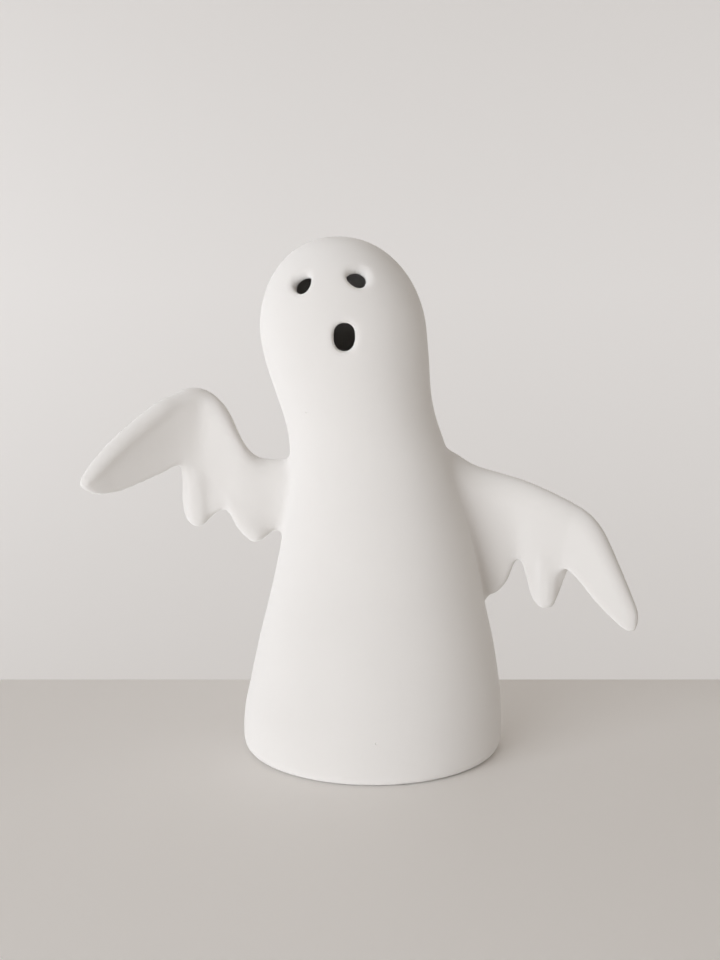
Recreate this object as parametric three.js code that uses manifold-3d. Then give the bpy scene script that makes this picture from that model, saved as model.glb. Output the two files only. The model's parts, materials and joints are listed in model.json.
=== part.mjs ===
// A battery-lit ceramic ghost figurine: a hollow cast figure with two dripping arms, and a plastic light
// unit that pushes up into a round socket under its foot. Millimetres, +Z up, the front faces -Y.
import * as THREE from "three";
import { mergeVertices } from "three/addons/utils/BufferGeometryUtils.js";
import Module from "manifold-3d";

const wasm = await Module();
wasm.setup();

// Clearances
const GAP = 0.3; // round a piece that seats or turns in another
const SEAT = 0.15; // between faces that rest on each other
const THREAD_GAP = 0.15; // round a screw in its hole
const OVERLAP = 0.5; // joined forms reach this far into each other
const PAST = 1; // a cutter reaches this far past what it cuts

// Sides of round forms
const BODY_ROUND = 44;
const LARGE_ROUND = 36;
const ROUND = 28;
const SMALL_ROUND = 16;
const SCREW_ROUND = 12;

// Ceramic figure
const WALL = 3.5;
const FOOT_RECESS = 4.2; // height of the ceramic underside above the table
const FOOT_RING = 4.2; // width of the ring that it stands on
const FLOOR = 4; // thickness of the ceramic round the socket
const DOME_RISE = 26; // from the widest section of the head to its crown
const DOME_LEAN = -1.5; // further lean from there to the crown
const DOME_FULLNESS = 0.94; // 1 is an ellipse, less is fuller
const DOME_STEP = 11; // degrees
const SKIN_STEP = 6; // height between worked-out sections
const CAVITY_STEP = 10;
const FLANK_POINTS = 120; // worked out on the curve through the listed sections

// Height, radius and sideways lean of the round sections, from the foot to the widest part of the head
const BODY = [
  [0, 33.6, 0],
  [0.8, 34.9, 0],
  [2.6, 35.6, 0],
  [7, 35.7, 0.05],
  [12.4, 35.3, 0.2],
  [18.3, 34.4, 0.6],
  [29.8, 32.3, 0.9],
  [41.3, 29.6, 1.05],
  [52.7, 27.1, 1.1],
  [65, 24.6, 0.8],
  [77, 22.2, -0.3],
  [86, 20.9, -1.7],
  [91.6, 20.4, -3.2],
  [97.1, 20.6, -4.7],
  [102.6, 21.2, -5.9],
  [108, 21.9, -6.9],
  [115, 22.3, -7.9],
];

// Arms as ribs from shoulder to tip: top point, low point, radius of the top edge and of the low edge
const LEFT_ARM = [
  [[-18, 2, 79], [-18, 1, 62], 6.5, 4],
  [[-24.8, 3, 80.4], [-26.4, 2, 60.7], 5.5, 3.2],
  [[-29.3, 3, 80.5], [-29.8, 0.8, 58.2], 5.1, 3],
  [[-32.3, 3, 81.6], [-32.8, -0.2, 57.6], 4.9, 3],
  [[-34.7, 3, 84.3], [-35.5, -0.6, 60.5], 4.7, 2.6],
  [[-36.5, 3, 88], [-37.7, -0.2, 64.2], 4.5, 2],
  [[-38.4, 3.3, 92.1], [-40.1, 0.4, 66.7], 4.3, 1.7],
  [[-40.6, 3.9, 95.4], [-43.1, 0.8, 65.2], 4.2, 2],
  [[-43.3, 4.8, 98], [-46.1, 1, 62.9], 4.1, 2.2],
  [[-46, 5.2, 99.4], [-48.7, 1.2, 61.9], 4, 2.3],
  [[-48.3, 3.8, 100.1], [-50.7, 1, 64.4], 3.7, 2.1],
  [[-50.3, 1.9, 99.9], [-50.7, 0.6, 71.5], 3.3, 1.8],
  [[-52.3, 0, 99.2], [-52, 0, 78.7], 3, 1.6],
  [[-57.6, -4.8, 97.2], [-57.6, -3.8, 77.3], 2.5, 1.5],
  [[-66.8, -13, 90.6], [-67.4, -11.4, 74.5], 2.2, 1.5],
  [[-72.5, -17.8, 84.9], [-72.9, -16.6, 74.8], 1.9, 1.5],
  [[-76.1, -20, 79.7], [-75.8, -20, 76.9], 1.2, 1.2],
  [[-76.8, -20.6, 78.8], [-76.6, -20.6, 77.7], 0.5, 0.5],
];
const RIGHT_ARM = [
  [[14, 3, 84], [22, 9, 44], 7, 4],
  [[20.6, 2.2, 82.5], [30.6, 7.6, 39.3], 6.2, 3],
  [[26.3, 1.7, 79], [32.3, 6.6, 40.9], 5.6, 2.8],
  [[31.2, 1, 77.5], [34.8, 5, 42.4], 5.2, 2.6],
  [[35.8, 0.2, 76.3], [37, 3, 46], 4.8, 2.2],
  [[40.3, -0.9, 75.2], [38.7, 1.2, 51.4], 4.5, 1.8],
  [[44.1, -2.1, 74], [40.4, -0.8, 53.1], 4.3, 1.7],
  [[47.2, -3.2, 72.9], [41.8, -2.2, 49.3], 4.2, 2],
  [[49.9, -4.3, 71.8], [43.7, -3.6, 42.7], 4.1, 2.1],
  [[52.2, -5.4, 70.8], [46.8, -4.8, 40.3], 4, 2.2],
  [[54.5, -6.6, 69.7], [49.4, -5.8, 42.8], 4, 1.7],
  [[56.9, -7.9, 68.4], [50.1, -6.8, 48.9], 3.9, 1.5],
  [[59.2, -9.3, 66.6], [51.6, -8, 52.4], 3.8, 1.5],
  [[61.7, -11.4, 63.3], [55.1, -10.6, 49.9], 3.6, 1.7],
  [[64.8, -14.6, 56.7], [59.7, -14, 44.7], 3.2, 1.8],
  [[68.3, -17.6, 48.8], [64.3, -17.2, 40.4], 2.7, 1.8],
  [[70.4, -19.4, 43.3], [67.6, -19.2, 38], 2, 1.7],
  [[70.1, -20, 40.1], [68.8, -20, 38.1], 1.1, 1.1],
  [[69.9, -20.5, 39.5], [69.3, -20.5, 38.8], 0.5, 0.5],
];
const RIBS_BETWEEN = 1; // ribs worked out from one listed rib to the next
const RIB_POINTS = 12;

// Rounded ridges on the arms: drips, and the thick upper edge of the left arm; x, y, z and radius along each
const RIDGES = [
  [[-48.2, 0.6, 78, 1.6], [-47.9, 0.4, 74.5, 2.9], [-47.7, 0.5, 70, 3.2], [-47.6, 0.6, 65, 3.2]],
  [[-40.4, 0.8, 74, 2], [-36.8, 0.2, 68, 3], [-33.9, -0.3, 63.4, 3.5], [-32, -0.3, 61.4, 3.4]],
  [
    [-50, 1.4, 96.4, 2.2],
    [-52.6, -0.9, 96.4, 2.5],
    [-57.6, -5.6, 94.5, 2.6],
    [-66.8, -13.5, 87.9, 2.5],
    [-72.6, -18, 82.4, 2.2],
    [-75.6, -20.2, 79, 1.6],
  ],
  [[46, -4, 60, 1.8], [46.8, -5.2, 54, 2.9], [47.2, -5.5, 47, 3.1], [47, -5.5, 43.3, 3]],
];
const RIDGE_POINTS = 10;
const RIDGE_END = 60; // degrees to which a ridge's ends are rounded

// Eyes and mouth: centre on the skin, the way the hole faces, width and height, roundness of the outline
// (1 is an ellipse), and the reach and depth of the soft lip round it
const LEFT_EYE = {
  centre: [-18.8, -14.7, 130.9],
  facing: [-0.458, -0.695, 0.552],
  size: [5.5, 5.3],
  roundness: 1,
  lip: [3, 1.5],
};
const RIGHT_EYE = {
  centre: [-4.3, -15.9, 132.4],
  facing: [0.229, -0.758, 0.61],
  size: [5.3, 5.1],
  roundness: 1,
  lip: [3.2, 1.6],
};
const MOUTH = {
  centre: [-7.6, -22.2, 117.7],
  facing: [0.02, -0.996, 0.09],
  size: [5.6, 7.4],
  roundness: 0.82,
  lip: [2.4, 1.4],
};
const LIP_STEP = 20; // degrees
const LIP_END = 80; // degrees, where the cutter goes straight on

// Light unit: heights of the cover plate
const COVER_BOTTOM = 1.2; // above the table
const COVER_TOP = FOOT_RECESS - GAP;

// Light unit: coin cells, their well and the twist cap
const WELL_Y = 4;
const CELL_R = 10;
const CELL_HEIGHT = 3.2;
const CELL_STEP = 0.45; // height of the smaller negative face
const CELL_RIM = 1.2; // from the can's edge to that face
const CELLS = 2;
const WELL_WALL = 1.2;
const WELL_R = CELL_R + GAP;
const CAP_INSET = 0.2; // the cap lies this far inside the plate
const CAP_THICK = 1.4;
const CAP_BOTTOM = COVER_BOTTOM + CAP_INSET;
const CAP_TOP = CAP_BOTTOM + CAP_THICK;
const MOUTH_CLEAR = 0.4; // the cap's hub is this much wider than the well
const HUB_R = WELL_R + MOUTH_CLEAR;
const HUB_WALL = 1.4;
const LUG_REACH = 1.2;
const LUG_R = HUB_R + LUG_REACH;
const CAP_COVERS = 0.7; // how far the cap reaches past its lugs
const CAP_R = LUG_R + CAP_COVERS;
const LUG_HEIGHT = 0.8;
const LUG_HALF = 10; // half the width of a lug, in degrees
const LUG_BOTTOM = COVER_TOP + SEAT;
const LUG_TOP = LUG_BOTTOM + LUG_HEIGHT;
const LUGS = [90, 210, 330]; // degrees, with the cap locked
const CAP_TURN = 35; // degrees from locked to open
const STOP_WIDTH = 4; // degrees
const STOP_CLEAR = 1.5; // degrees between a lug and its stop
const GROOVE_R = LUG_R + GAP;
const GROOVE_TOP = LUG_TOP + GAP;
const COIN_SLOT = [11, 1.7, 0.8]; // length, width, depth
const CELL_BASE = LUG_TOP + SEAT;
const CELL_PITCH = CELL_HEIGHT + SEAT;
const CELLS_TOP = CELL_BASE + CELL_PITCH * (CELLS - 1) + CELL_HEIGHT;
const CONTACT_SPACE = 1.6;
const WELL_TOP = CELLS_TOP + CONTACT_SPACE;
const WELL_ROOF = WELL_TOP + WELL_WALL;
const WELL_OUT_R = WELL_R + WELL_WALL;
const COLLAR_OUT_R = GROOVE_R + WELL_WALL;
const COLLAR_TOP = GROOVE_TOP + WELL_WALL;

// Light unit: contacts
const METAL = 0.3; // thickness of the contact strip
const LEAF_WIDTH = 4;
const LEAF_ABOVE = 1.05; // how far the leaf stands above the cells
const LEAF_TOP = CELLS_TOP + LEAF_ABOVE;
const LEAF_TAB = 1.9;
const LEAF_BUMP = [3.2, 0.9]; // width and height of the bump that touches the lower cell
const LEAF_RAIL = 0.8;
const RAIL_SHORT = 1; // the rails end this far below the leaf's top
const PLATE_R = 4.5;
const PRONGS = [30, 150, 270];
const PRONG_WIDTH = 1.4;
const PRONG_REACH = 2; // past the plate, where it starts to press
const PRONG_FOOT = 1;
const NEGATIVE_TAB = [3.6, 3.6, 2]; // x, y from the well's axis, and width
const NEGATIVE_TAB_ABOVE = 1.2; // how far the tab stands out of the well's roof

// Light unit: slide switch
const SWITCH = [8.6, 4.4, 3.3]; // length, width, height of the steel frame
const SWITCH_ROOM = 0.9; // between the switch and the well's collar
const SWITCH_Y = WELL_Y - COLLAR_OUT_R - SWITCH_ROOM - SWITCH[1] / 2;
const SWITCH_BOTTOM = COVER_TOP + SEAT;
const SWITCH_METAL = 0.3;
const SWITCH_INSULATOR = 1.6;
const SWITCH_STANDS = 0.3; // the insulator stands this far out of the frame
const SWITCH_RIB = 0.9;
const SWITCH_RIB_HEIGHT = 2.8;
const PIN = [0.5, 0.4, 4.6];
const PIN_SPACING = 2.5;
const KNOB_TRAVEL = 2;
const KNOB_STEM = 1.8;
const KNOB_PAD = [3.2, 2.6];
const KNOB_RECESS = 1; // how deep the plate is hollowed for the knob
const KNOB_BELOW = 0.45; // how far the knob stands out under the plate
const KNOB_IN = 1.3; // how far its stem reaches into the switch
const KNOB_RIDGES = 3;
const KNOB_RIDGE = 0.3;

// Light unit: screws and their bosses
const SCREW_R = 0.9;
const SCREW_HEAD_R = 1.9;
const SCREW_HEAD = 1.1;
const SCREW_CHAMFER = 0.3;
const SCREW_SLOT = [2.2, 0.45, 0.6];
const BOSS_WALL = 1.15;
const BOSS_R = SCREW_R + THREAD_GAP + BOSS_WALL;
const BOSS_ROOM = 0.4; // between the switch and the boss behind it
const BOSS_WEB = 1.6;
const COVER_SCREW_R = SWITCH[1] / 2 - SWITCH_Y + BOSS_ROOM + BOSS_R;
const COVER_SCREWS = [30, 150, 270];
const COVER_SCREW_LENGTH = 8;

// Light unit: circuit board and what is soldered on it
const BOARD_CLEAR = 0.8; // between the board and the screw bosses
const BOARD_R = COVER_SCREW_R - BOSS_R - BOARD_CLEAR;
const BOARD_THICK = 1.2;
const BOARD_ABOVE = 2.6; // room between the well and the board
const BOARD_BOTTOM = WELL_ROOF + BOARD_ABOVE;
const BOARD_TOP = BOARD_BOTTOM + BOARD_THICK;
const BOARD_SCREW_INSET = 3.1; // from the board's edge to its screws
const BOARD_SCREW_R = BOARD_R - BOARD_SCREW_INSET;
const BOARD_SCREWS = [135, 315];
const BOARD_SCREW_LENGTH = 3.4;
const LAMP_R = 2.5;
const LAMP_RIM = 0.4;
const LAMP_RIM_HEIGHT = 1;
const LAMP_HEIGHT = 8.6;
const LAMP_STAND = 0.4; // gap between the lamp and the board
const LAMP_BOTTOM = BOARD_TOP + LAMP_STAND;
const LEAD = 0.5; // square leads
const LEAD_SPACING = 2.54;
const LEAD_BELOW = 1.2;
const CHIP = [5, 4, 1.4];
const CHIP_AT = [-7.2, -3.2];
const CHIP_STAND = 0.1; // gap between the chip's body and the board
const CHIP_LEGS = 4; // on each long side
const CHIP_LEG = [0.4, 0.9, 0.5];
const RESISTOR = [3.2, 1.6, 0.7];
const RESISTOR_AT = [7, 2.5];
const RESISTOR_CAP = 0.64; // length of each metal end
const RESISTOR_STEP = 0.05; // the body stands this much above them
const PAD_INSET = 4.2; // from the board's edge to the wires' ends
const NEGATIVE_PAD = -18.4; // degrees
const SWITCHED_PAD = 239;
const WIRE_R = 0.5;
const WIRE_STEP = 1;
const WIRE_POINTS = 8;

// Light unit: housing, and the grip ring that holds it in the ceramic socket
const BOSS_INSET = 0.7; // from a screw boss to the housing's wall
const HOUSING_WALL = 1.4;
const HOUSING_R = COVER_SCREW_R + BOSS_R + BOSS_INSET + HOUSING_WALL;
const HOUSING_BOTTOM = COVER_TOP + GAP;
const HOUSING_BEVEL = 1.2;
const ROOF_ABOVE = 3.2; // room between the board and the roof
const ROOF_BOTTOM = BOARD_TOP + ROOF_ABOVE;
const ROOF_TOP = ROOF_BOTTOM + HOUSING_WALL;
const LAMP_HOLE_R = LAMP_R + GAP;
const LAMP_COLLAR = 1.6;
const LAMP_COLLAR_HEIGHT = 1.4;
const BEAD = 0.7; // ridge over the grip ring
const BEAD_HEIGHT = 0.9;
const HOUSING_GAP = 1.4; // between the housing and the socket
const SOCKET_R = HOUSING_R + HOUSING_GAP;
const GRIP_RIBS = 3;
const GRIP_IN_R = HOUSING_R + SEAT;
const GRIP_OUT_R = SOCKET_R - GAP;
const GRIP_GROOVE = 0.4;
const GRIP_SLOPE = 0.3; // share of a rib that each of its sides takes
const GRIP_BOTTOM = HOUSING_BOTTOM + GAP;
const GRIP_TOP = FOOT_RECESS + FLOOR;

// Light unit: outline of the cover plate
const COVER_RIM = 3.5; // how far the plate reaches past the socket
const COVER_R = SOCKET_R + COVER_RIM;
const COVER_BEVEL = 0.5;
const NAIL_NOTCH_R = 5; // thumb-nail notches in the rim, for pulling the unit out
const NAIL_NOTCH_DEPTH = 1.2;

// Materials
const CERAMIC = new THREE.MeshStandardMaterial({ color: 0xece8e3, roughness: 0.75 });
const WHITE_PLASTIC = new THREE.MeshStandardMaterial({ color: 0xe4e2dc, roughness: 0.5 });
const SILICONE = new THREE.MeshStandardMaterial({ color: 0xb9bab8, roughness: 0.65 });
const BLACK_PLASTIC = new THREE.MeshStandardMaterial({ color: 0x1c1c1e, roughness: 0.5 });
const PHENOLIC = new THREE.MeshStandardMaterial({ color: 0x6b4a2c, roughness: 0.6 });
const STEEL = new THREE.MeshStandardMaterial({ color: 0xb8babd, roughness: 0.3, metalness: 1 });
const NICKEL = new THREE.MeshStandardMaterial({ color: 0xc9c4b8, roughness: 0.28, metalness: 1 });
const BOARD_GREEN = new THREE.MeshStandardMaterial({ color: 0x1f5a36, roughness: 0.45 });
const CLEAR_EPOXY = new THREE.MeshStandardMaterial({ color: 0xe9eef0, roughness: 0.1 });
const RED_WIRE = new THREE.MeshStandardMaterial({ color: 0xa8211c, roughness: 0.45 });
const BLACK_WIRE = new THREE.MeshStandardMaterial({ color: 0x161616, roughness: 0.45 });

const radians = THREE.MathUtils.degToRad;
const mix = THREE.MathUtils.lerp;

// A closed geometry as a solid that can be joined and cut
function solid(geometry) {
  const bare = geometry.clone();
  bare.deleteAttribute("normal");
  bare.deleteAttribute("uv");
  const merged = mergeVertices(bare, 1e-4);
  return new wasm.Manifold(
    new wasm.Mesh({
      numProp: 3,
      vertProperties: merged.attributes.position.array,
      triVerts: new Uint32Array(merged.index.array),
    }),
  );
}

// A solid back as a geometry
function geometryOf(made) {
  const mesh = made.getMesh();
  const geometry = new THREE.BufferGeometry();
  geometry.setAttribute("position", new THREE.BufferAttribute(mesh.vertProperties, 3));
  geometry.setIndex(new THREE.BufferAttribute(mesh.triVerts, 1));
  geometry.computeVertexNormals();
  return geometry;
}

function join(...geometries) {
  return geometryOf(geometries.map(solid).reduce((whole, piece) => whole.add(piece)));
}

function cut(geometry, ...cutters) {
  return geometryOf(cutters.map(solid).reduce((whole, piece) => whole.subtract(piece), solid(geometry)));
}

// A block between two corners
function block(x0, x1, y0, y1, z0, z1) {
  const box = new THREE.BoxGeometry(x1 - x0, y1 - y0, z1 - z0);
  return box.translate((x0 + x1) / 2, (y0 + y1) / 2, (z0 + z1) / 2);
}

// An upright round bar
function bar(x, y, radius, z0, z1, sides = SMALL_ROUND) {
  const cylinder = new THREE.CylinderGeometry(radius, radius, z1 - z0, sides);
  return cylinder.rotateX(Math.PI / 2).translate(x, y, (z0 + z1) / 2);
}

// A turned form round the Z axis, from a profile of [radius, z] that runs upwards on its outside
function turned(profile, sides = LARGE_ROUND) {
  const points = profile.map(([radius, z]) => new THREE.Vector2(radius, z));
  return new THREE.LatheGeometry(points, sides).rotateX(Math.PI / 2);
}

// A plate with the outline of a shape, between two heights
function plate(shape, z0, z1, curveSegments = 5) {
  const options = { depth: z1 - z0, bevelEnabled: false, curveSegments };
  return new THREE.ExtrudeGeometry(shape, options).translate(0, 0, z0);
}

// A piece of a ring between two radii and two angles in degrees
function ringPiece(r0, r1, from, to, z0, z1) {
  const shape = new THREE.Shape();
  shape.absarc(0, 0, r1, radians(from), radians(to), false);
  shape.absarc(0, 0, r0, radians(to), radians(from), true);
  return plate(shape, z0, z1);
}

// A smooth curve through points
function smooth(points) {
  return new THREE.CatmullRomCurve3(points.map((p) => new THREE.Vector3(...p)));
}

// A wire along a smooth curve through points
function wire(...points) {
  const curve = smooth(points);
  const section = new THREE.Shape();
  for (let side = 0; side < WIRE_POINTS; side++) {
    const a = (side / WIRE_POINTS) * 2 * Math.PI;
    const put = side ? "lineTo" : "moveTo";
    section[put](WIRE_R * Math.cos(a), WIRE_R * Math.sin(a));
  }
  const steps = Math.ceil(curve.getLength() / WIRE_STEP);
  return new THREE.ExtrudeGeometry(section, { steps, bevelEnabled: false, extrudePath: curve });
}

// A skin over closed sections that have equal numbers of points, with a flat end at the first and the last
function loft(sections) {
  const count = sections[0].length;
  const points = sections.flat();
  const triangles = [];
  for (let row = 0; row < sections.length - 1; row++) {
    for (let i = 0; i < count; i++) {
      const a = row * count + i;
      const b = row * count + ((i + 1) % count);
      triangles.push(a, b, b + count, a, b + count, a + count);
    }
  }
  const last = (sections.length - 1) * count;
  for (let i = 1; i < count - 1; i++) {
    triangles.push(0, i + 1, i, last, last + i, last + i + 1);
  }
  const geometry = new THREE.BufferGeometry().setFromPoints(points);
  geometry.setIndex(triangles);
  return geometry;
}

// Radius and lean of the body at a height below the dome
const flank = smooth(BODY.map(([z, radius, lean]) => [lean, radius, z])).getPoints(FLANK_POINTS);
function bodyAt(z) {
  const next = Math.max(1, flank.findIndex((p) => p.z >= z));
  const [low, high] = [flank[next - 1], flank[next]];
  return low.clone().lerp(high, (z - low.z) / (high.z - low.z));
}

// The body's skin, or the same skin set in by a wall
function bodySkin(inset, bottom, step, sides) {
  const [domeZ, domeR, domeLean] = BODY.at(-1);
  const foot = inset ? [] : BODY.slice(1, 3).map(([z]) => z);
  const heights = [bottom, ...foot];
  const start = heights.at(-1);
  const steps = Math.round((domeZ - start) / step);
  for (let i = 1; i < steps; i++) {
    heights.push(mix(start, domeZ, i / steps));
  }
  const rings = heights.map(bodyAt).map((p) => [p.x, p.y - inset, p.z]);
  for (let angle = 0; angle < 90; angle += DOME_STEP) {
    const a = radians(angle);
    const lean = domeLean + DOME_LEAN * Math.sin(a);
    const radius = (domeR - inset) * Math.cos(a) ** DOME_FULLNESS;
    rings.push([lean, radius, domeZ + (DOME_RISE - inset) * Math.sin(a)]);
  }
  return loft(rings.map(([lean, radius, z]) => ring(lean, radius, z, sides)));
}

function ring(x, radius, z, sides) {
  return round(sides, (cos, sin) => new THREE.Vector3(x + radius * cos, radius * sin, z));
}

// An arm: a loft over ribs
function arm(ribs) {
  const tops = smooth(ribs.map(([top]) => top));
  const lows = smooth(ribs.map(([, low]) => low));
  const radii = smooth(ribs.map(([, , topRadius, lowRadius]) => [topRadius, lowRadius, 0]));
  const count = (ribs.length - 1) * (RIBS_BETWEEN + 1);
  const sections = [];
  for (let i = 0; i <= count; i++) {
    const t = i / count;
    const top = tops.getPoint(t);
    const low = lows.getPoint(t);
    const span = tops.getTangent(t).add(lows.getTangent(t));
    const across = top.clone().sub(low).cross(span).normalize();
    const radius = radii.getPoint(t);
    sections.push(ribSection(top, low, across, radius.x, radius.y));
  }
  return outward(loft(sections));
}

// A section with a round top edge, a round low edge and straight sides between them
function ribSection(top, low, across, topRadius, lowRadius) {
  const up = top.clone().sub(low).normalize();
  const topCentre = top.clone().addScaledVector(up, -topRadius);
  const lowCentre = low.clone().addScaledVector(up, lowRadius);
  const slope = (topRadius - lowRadius) / topCentre.distanceTo(lowCentre);
  const tilt = Math.asin(THREE.MathUtils.clamp(slope, -1, 1));
  const half = RIB_POINTS / 2;
  const points = [];
  for (let i = 0; i < RIB_POINTS; i++) {
    const share = (i % half) / (half - 1);
    const onTop = i < half;
    const a = onTop ? mix(-tilt, Math.PI + tilt, share) : mix(Math.PI + tilt, 2 * Math.PI - tilt, share);
    const radius = onTop ? topRadius : lowRadius;
    const centre = onTop ? topCentre : lowCentre;
    points.push(offset(centre, across, radius * Math.cos(a), up, radius * Math.sin(a)));
  }
  return points;
}

// A rounded ridge through places with a radius at each, with rounded ends
function ridge(places) {
  const path = smooth(places.map(([x, y, z]) => [x, y, z]));
  const last = places.length - 1;
  const sections = places.map(([, , , radius], i) => ridgeSection(path, i / last, 0, radius));
  const reach = Math.sin(radians(RIDGE_END));
  const shrink = Math.cos(radians(RIDGE_END));
  const [first, end] = [places[0][3], places[last][3]];
  sections.unshift(ridgeSection(path, 0, -first * reach, first * shrink));
  sections.push(ridgeSection(path, 1, end * reach, end * shrink));
  return outward(loft(sections));
}

// A round section across a path, moved along it by a length
function ridgeSection(path, t, along, radius) {
  const tangent = path.getTangent(t);
  const centre = path.getPoint(t).addScaledVector(tangent, along);
  const side = tangent.clone().cross(new THREE.Vector3(0, 1, 0)).normalize();
  const up = tangent.clone().cross(side);
  return round(RIDGE_POINTS, (cos, sin) => offset(centre, side, radius * cos, up, radius * sin));
}

// A point moved by lengths along two directions
function offset(point, first, along, second, beside) {
  return point.clone().addScaledVector(first, along).addScaledVector(second, beside);
}

// Points made from the cosine and the sine of evenly spaced angles
function round(count, make) {
  const angles = Array.from({ length: count }, (_, i) => (i / count) * 2 * Math.PI);
  return angles.map((a) => make(Math.cos(a), Math.sin(a)));
}

// A skin with its faces turned outwards
function outward(geometry) {
  return solid(geometry).volume() < 0 ? flipped(geometry) : geometry;
}

// The same skin with its faces turned round
function flipped(geometry) {
  const index = Array.from(geometry.index.array);
  for (let i = 0; i < index.length; i += 3) {
    [index[i + 1], index[i + 2]] = [index[i + 2], index[i + 1]];
  }
  geometry.setIndex(index);
  return geometry;
}

// A cutter for a hole in the head, which flares out to the skin in a soft rounded lip
function faceHole({ centre, facing, size, roundness, lip }) {
  const [lipReach, lipDepth] = lip;
  const stations = [[0, -WALL - lipReach]];
  for (let angle = 0; angle <= LIP_END; angle += LIP_STEP) {
    const a = radians(angle);
    stations.push([lipReach * (1 - Math.cos(a)), lipDepth * (Math.sin(a) - 1)]);
  }
  stations.push([2 * lipReach, lipDepth]);
  const out = new THREE.Vector3(...facing).normalize();
  const side = new THREE.Vector3(0, 0, 1).cross(out).normalize();
  const up = out.clone().cross(side);
  const placed = new THREE.Matrix4().makeBasis(side, up, out).setPosition(...centre);
  const swell = (value) => Math.sign(value) * Math.abs(value) ** roundness;
  const sections = stations.map(([flare, depth]) =>
    round(ROUND, (cos, sin) => {
      const x = (size[0] / 2 + flare) * swell(cos);
      const y = (size[1] / 2 + flare) * swell(sin);
      return new THREE.Vector3(x, y, depth).applyMatrix4(placed);
    }),
  );
  return outward(loft(sections));
}

function ceramicBody() {
  const body = bodySkin(0, 0, SKIN_STEP, BODY_ROUND);
  const skin = join(body, arm(LEFT_ARM), arm(RIGHT_ARM), ...RIDGES.map(ridge));
  const footR = BODY[0][1];
  const floorTop = FOOT_RECESS + FLOOR;
  return cut(
    skin,
    bodySkin(WALL, floorTop, CAVITY_STEP, ROUND),
    bar(0, 0, footR - FOOT_RING, -PAST, FOOT_RECESS, LARGE_ROUND),
    bar(0, 0, SOCKET_R, FOOT_RECESS - PAST, floorTop + PAST, LARGE_ROUND),
    ...[LEFT_EYE, RIGHT_EYE, MOUTH].map(faceHole),
  );
}

// A point on a circle round the unit's axis
function around(radius, degrees, y = 0) {
  return [radius * Math.cos(radians(degrees)), y + radius * Math.sin(radians(degrees))];
}

function baseCover() {
  const y = WELL_Y;
  const disc = turned([
    [0, COVER_BOTTOM],
    [COVER_R - COVER_BEVEL, COVER_BOTTOM],
    [COVER_R, COVER_BOTTOM + COVER_BEVEL],
    [COVER_R, COVER_TOP],
    [0, COVER_TOP],
  ]);
  const railX = LEAF_WIDTH / 2 + GAP;
  const leafY = y - WELL_OUT_R;
  const solids = [
    disc,
    bar(0, y, COLLAR_OUT_R, COVER_TOP - OVERLAP, COLLAR_TOP, ROUND),
    bar(0, y, WELL_OUT_R, COVER_TOP, WELL_ROOF, ROUND),
  ];
  for (const side of [-1, 1]) {
    const rail = [side * railX, side * (railX + LEAF_RAIL)].sort((a, b) => a - b);
    const railTop = LEAF_TOP - RAIL_SHORT;
    solids.push(block(...rail, leafY - METAL - 2 * SEAT, leafY + WELL_WALL / 2, COVER_TOP, railTop));
    const ribX = SWITCH[0] / 2 + SEAT;
    const rib = [side * ribX, side * (ribX + SWITCH_RIB)].sort((a, b) => a - b);
    const ribY = SWITCH[1] / 2 - SWITCH_METAL;
    const ribTop = COVER_TOP + SWITCH_RIB_HEIGHT;
    solids.push(block(...rib, SWITCH_Y - ribY, SWITCH_Y + ribY, COVER_TOP - OVERLAP, ribTop));
  }
  const cutters = [
    bar(0, y, CAP_R + GAP, COVER_BOTTOM - PAST, CAP_TOP + SEAT, ROUND),
    bar(0, y, HUB_R + GAP, CAP_TOP, GROOVE_TOP, ROUND),
    bar(0, y, GROOVE_R, COVER_TOP, GROOVE_TOP, ROUND),
    bar(0, y, WELL_R, GROOVE_TOP - OVERLAP, WELL_TOP, ROUND),
  ];
  for (const lug of LUGS) {
    const open = lug + CAP_TURN;
    const half = LUG_HALF + STOP_CLEAR;
    const entry = ringPiece(HUB_R, GROOVE_R, open - half, open + half, CAP_TOP, COVER_TOP + OVERLAP);
    cutters.push(entry.translate(0, y, 0));
  }
  const windowHalf = LEAF_BUMP[0] / 2 + GAP;
  cutters.push(block(-windowHalf, windowHalf, leafY - PAST, y - CELL_R + PAST, ...leafWindow()));
  const [tabX, tabY, tabWidth] = NEGATIVE_TAB;
  cutters.push(
    block(
      tabX - METAL / 2 - GAP,
      tabX + METAL / 2 + GAP,
      y + tabY - tabWidth / 2 - GAP,
      y + tabY + tabWidth / 2 + GAP,
      WELL_TOP - PAST,
      WELL_ROOF + PAST,
    ),
  );
  for (const angle of COVER_SCREWS) {
    const [sx, sy] = around(COVER_SCREW_R, angle);
    cutters.push(bar(sx, sy, SCREW_R + THREAD_GAP, COVER_BOTTOM - PAST, COVER_TOP + PAST, SCREW_ROUND));
    cutters.push(bar(sx, sy, SCREW_HEAD_R + THREAD_GAP, COVER_BOTTOM - PAST, screwSeat()));
  }
  const [padX, padY] = KNOB_PAD;
  cutters.push(knobWindow(padX, padY, COVER_BOTTOM - PAST, knobPadTop() + GAP));
  cutters.push(knobWindow(KNOB_STEM, KNOB_STEM, COVER_BOTTOM, COVER_TOP + PAST));
  for (const side of [0, 180]) {
    const [nx, ny] = around(COVER_R + NAIL_NOTCH_R - NAIL_NOTCH_DEPTH, side);
    cutters.push(bar(nx, ny, NAIL_NOTCH_R, COVER_BOTTOM - PAST, COVER_TOP + PAST, ROUND));
  }
  return join(cut(join(...solids), ...cutters), ...lugStops());
}

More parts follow.
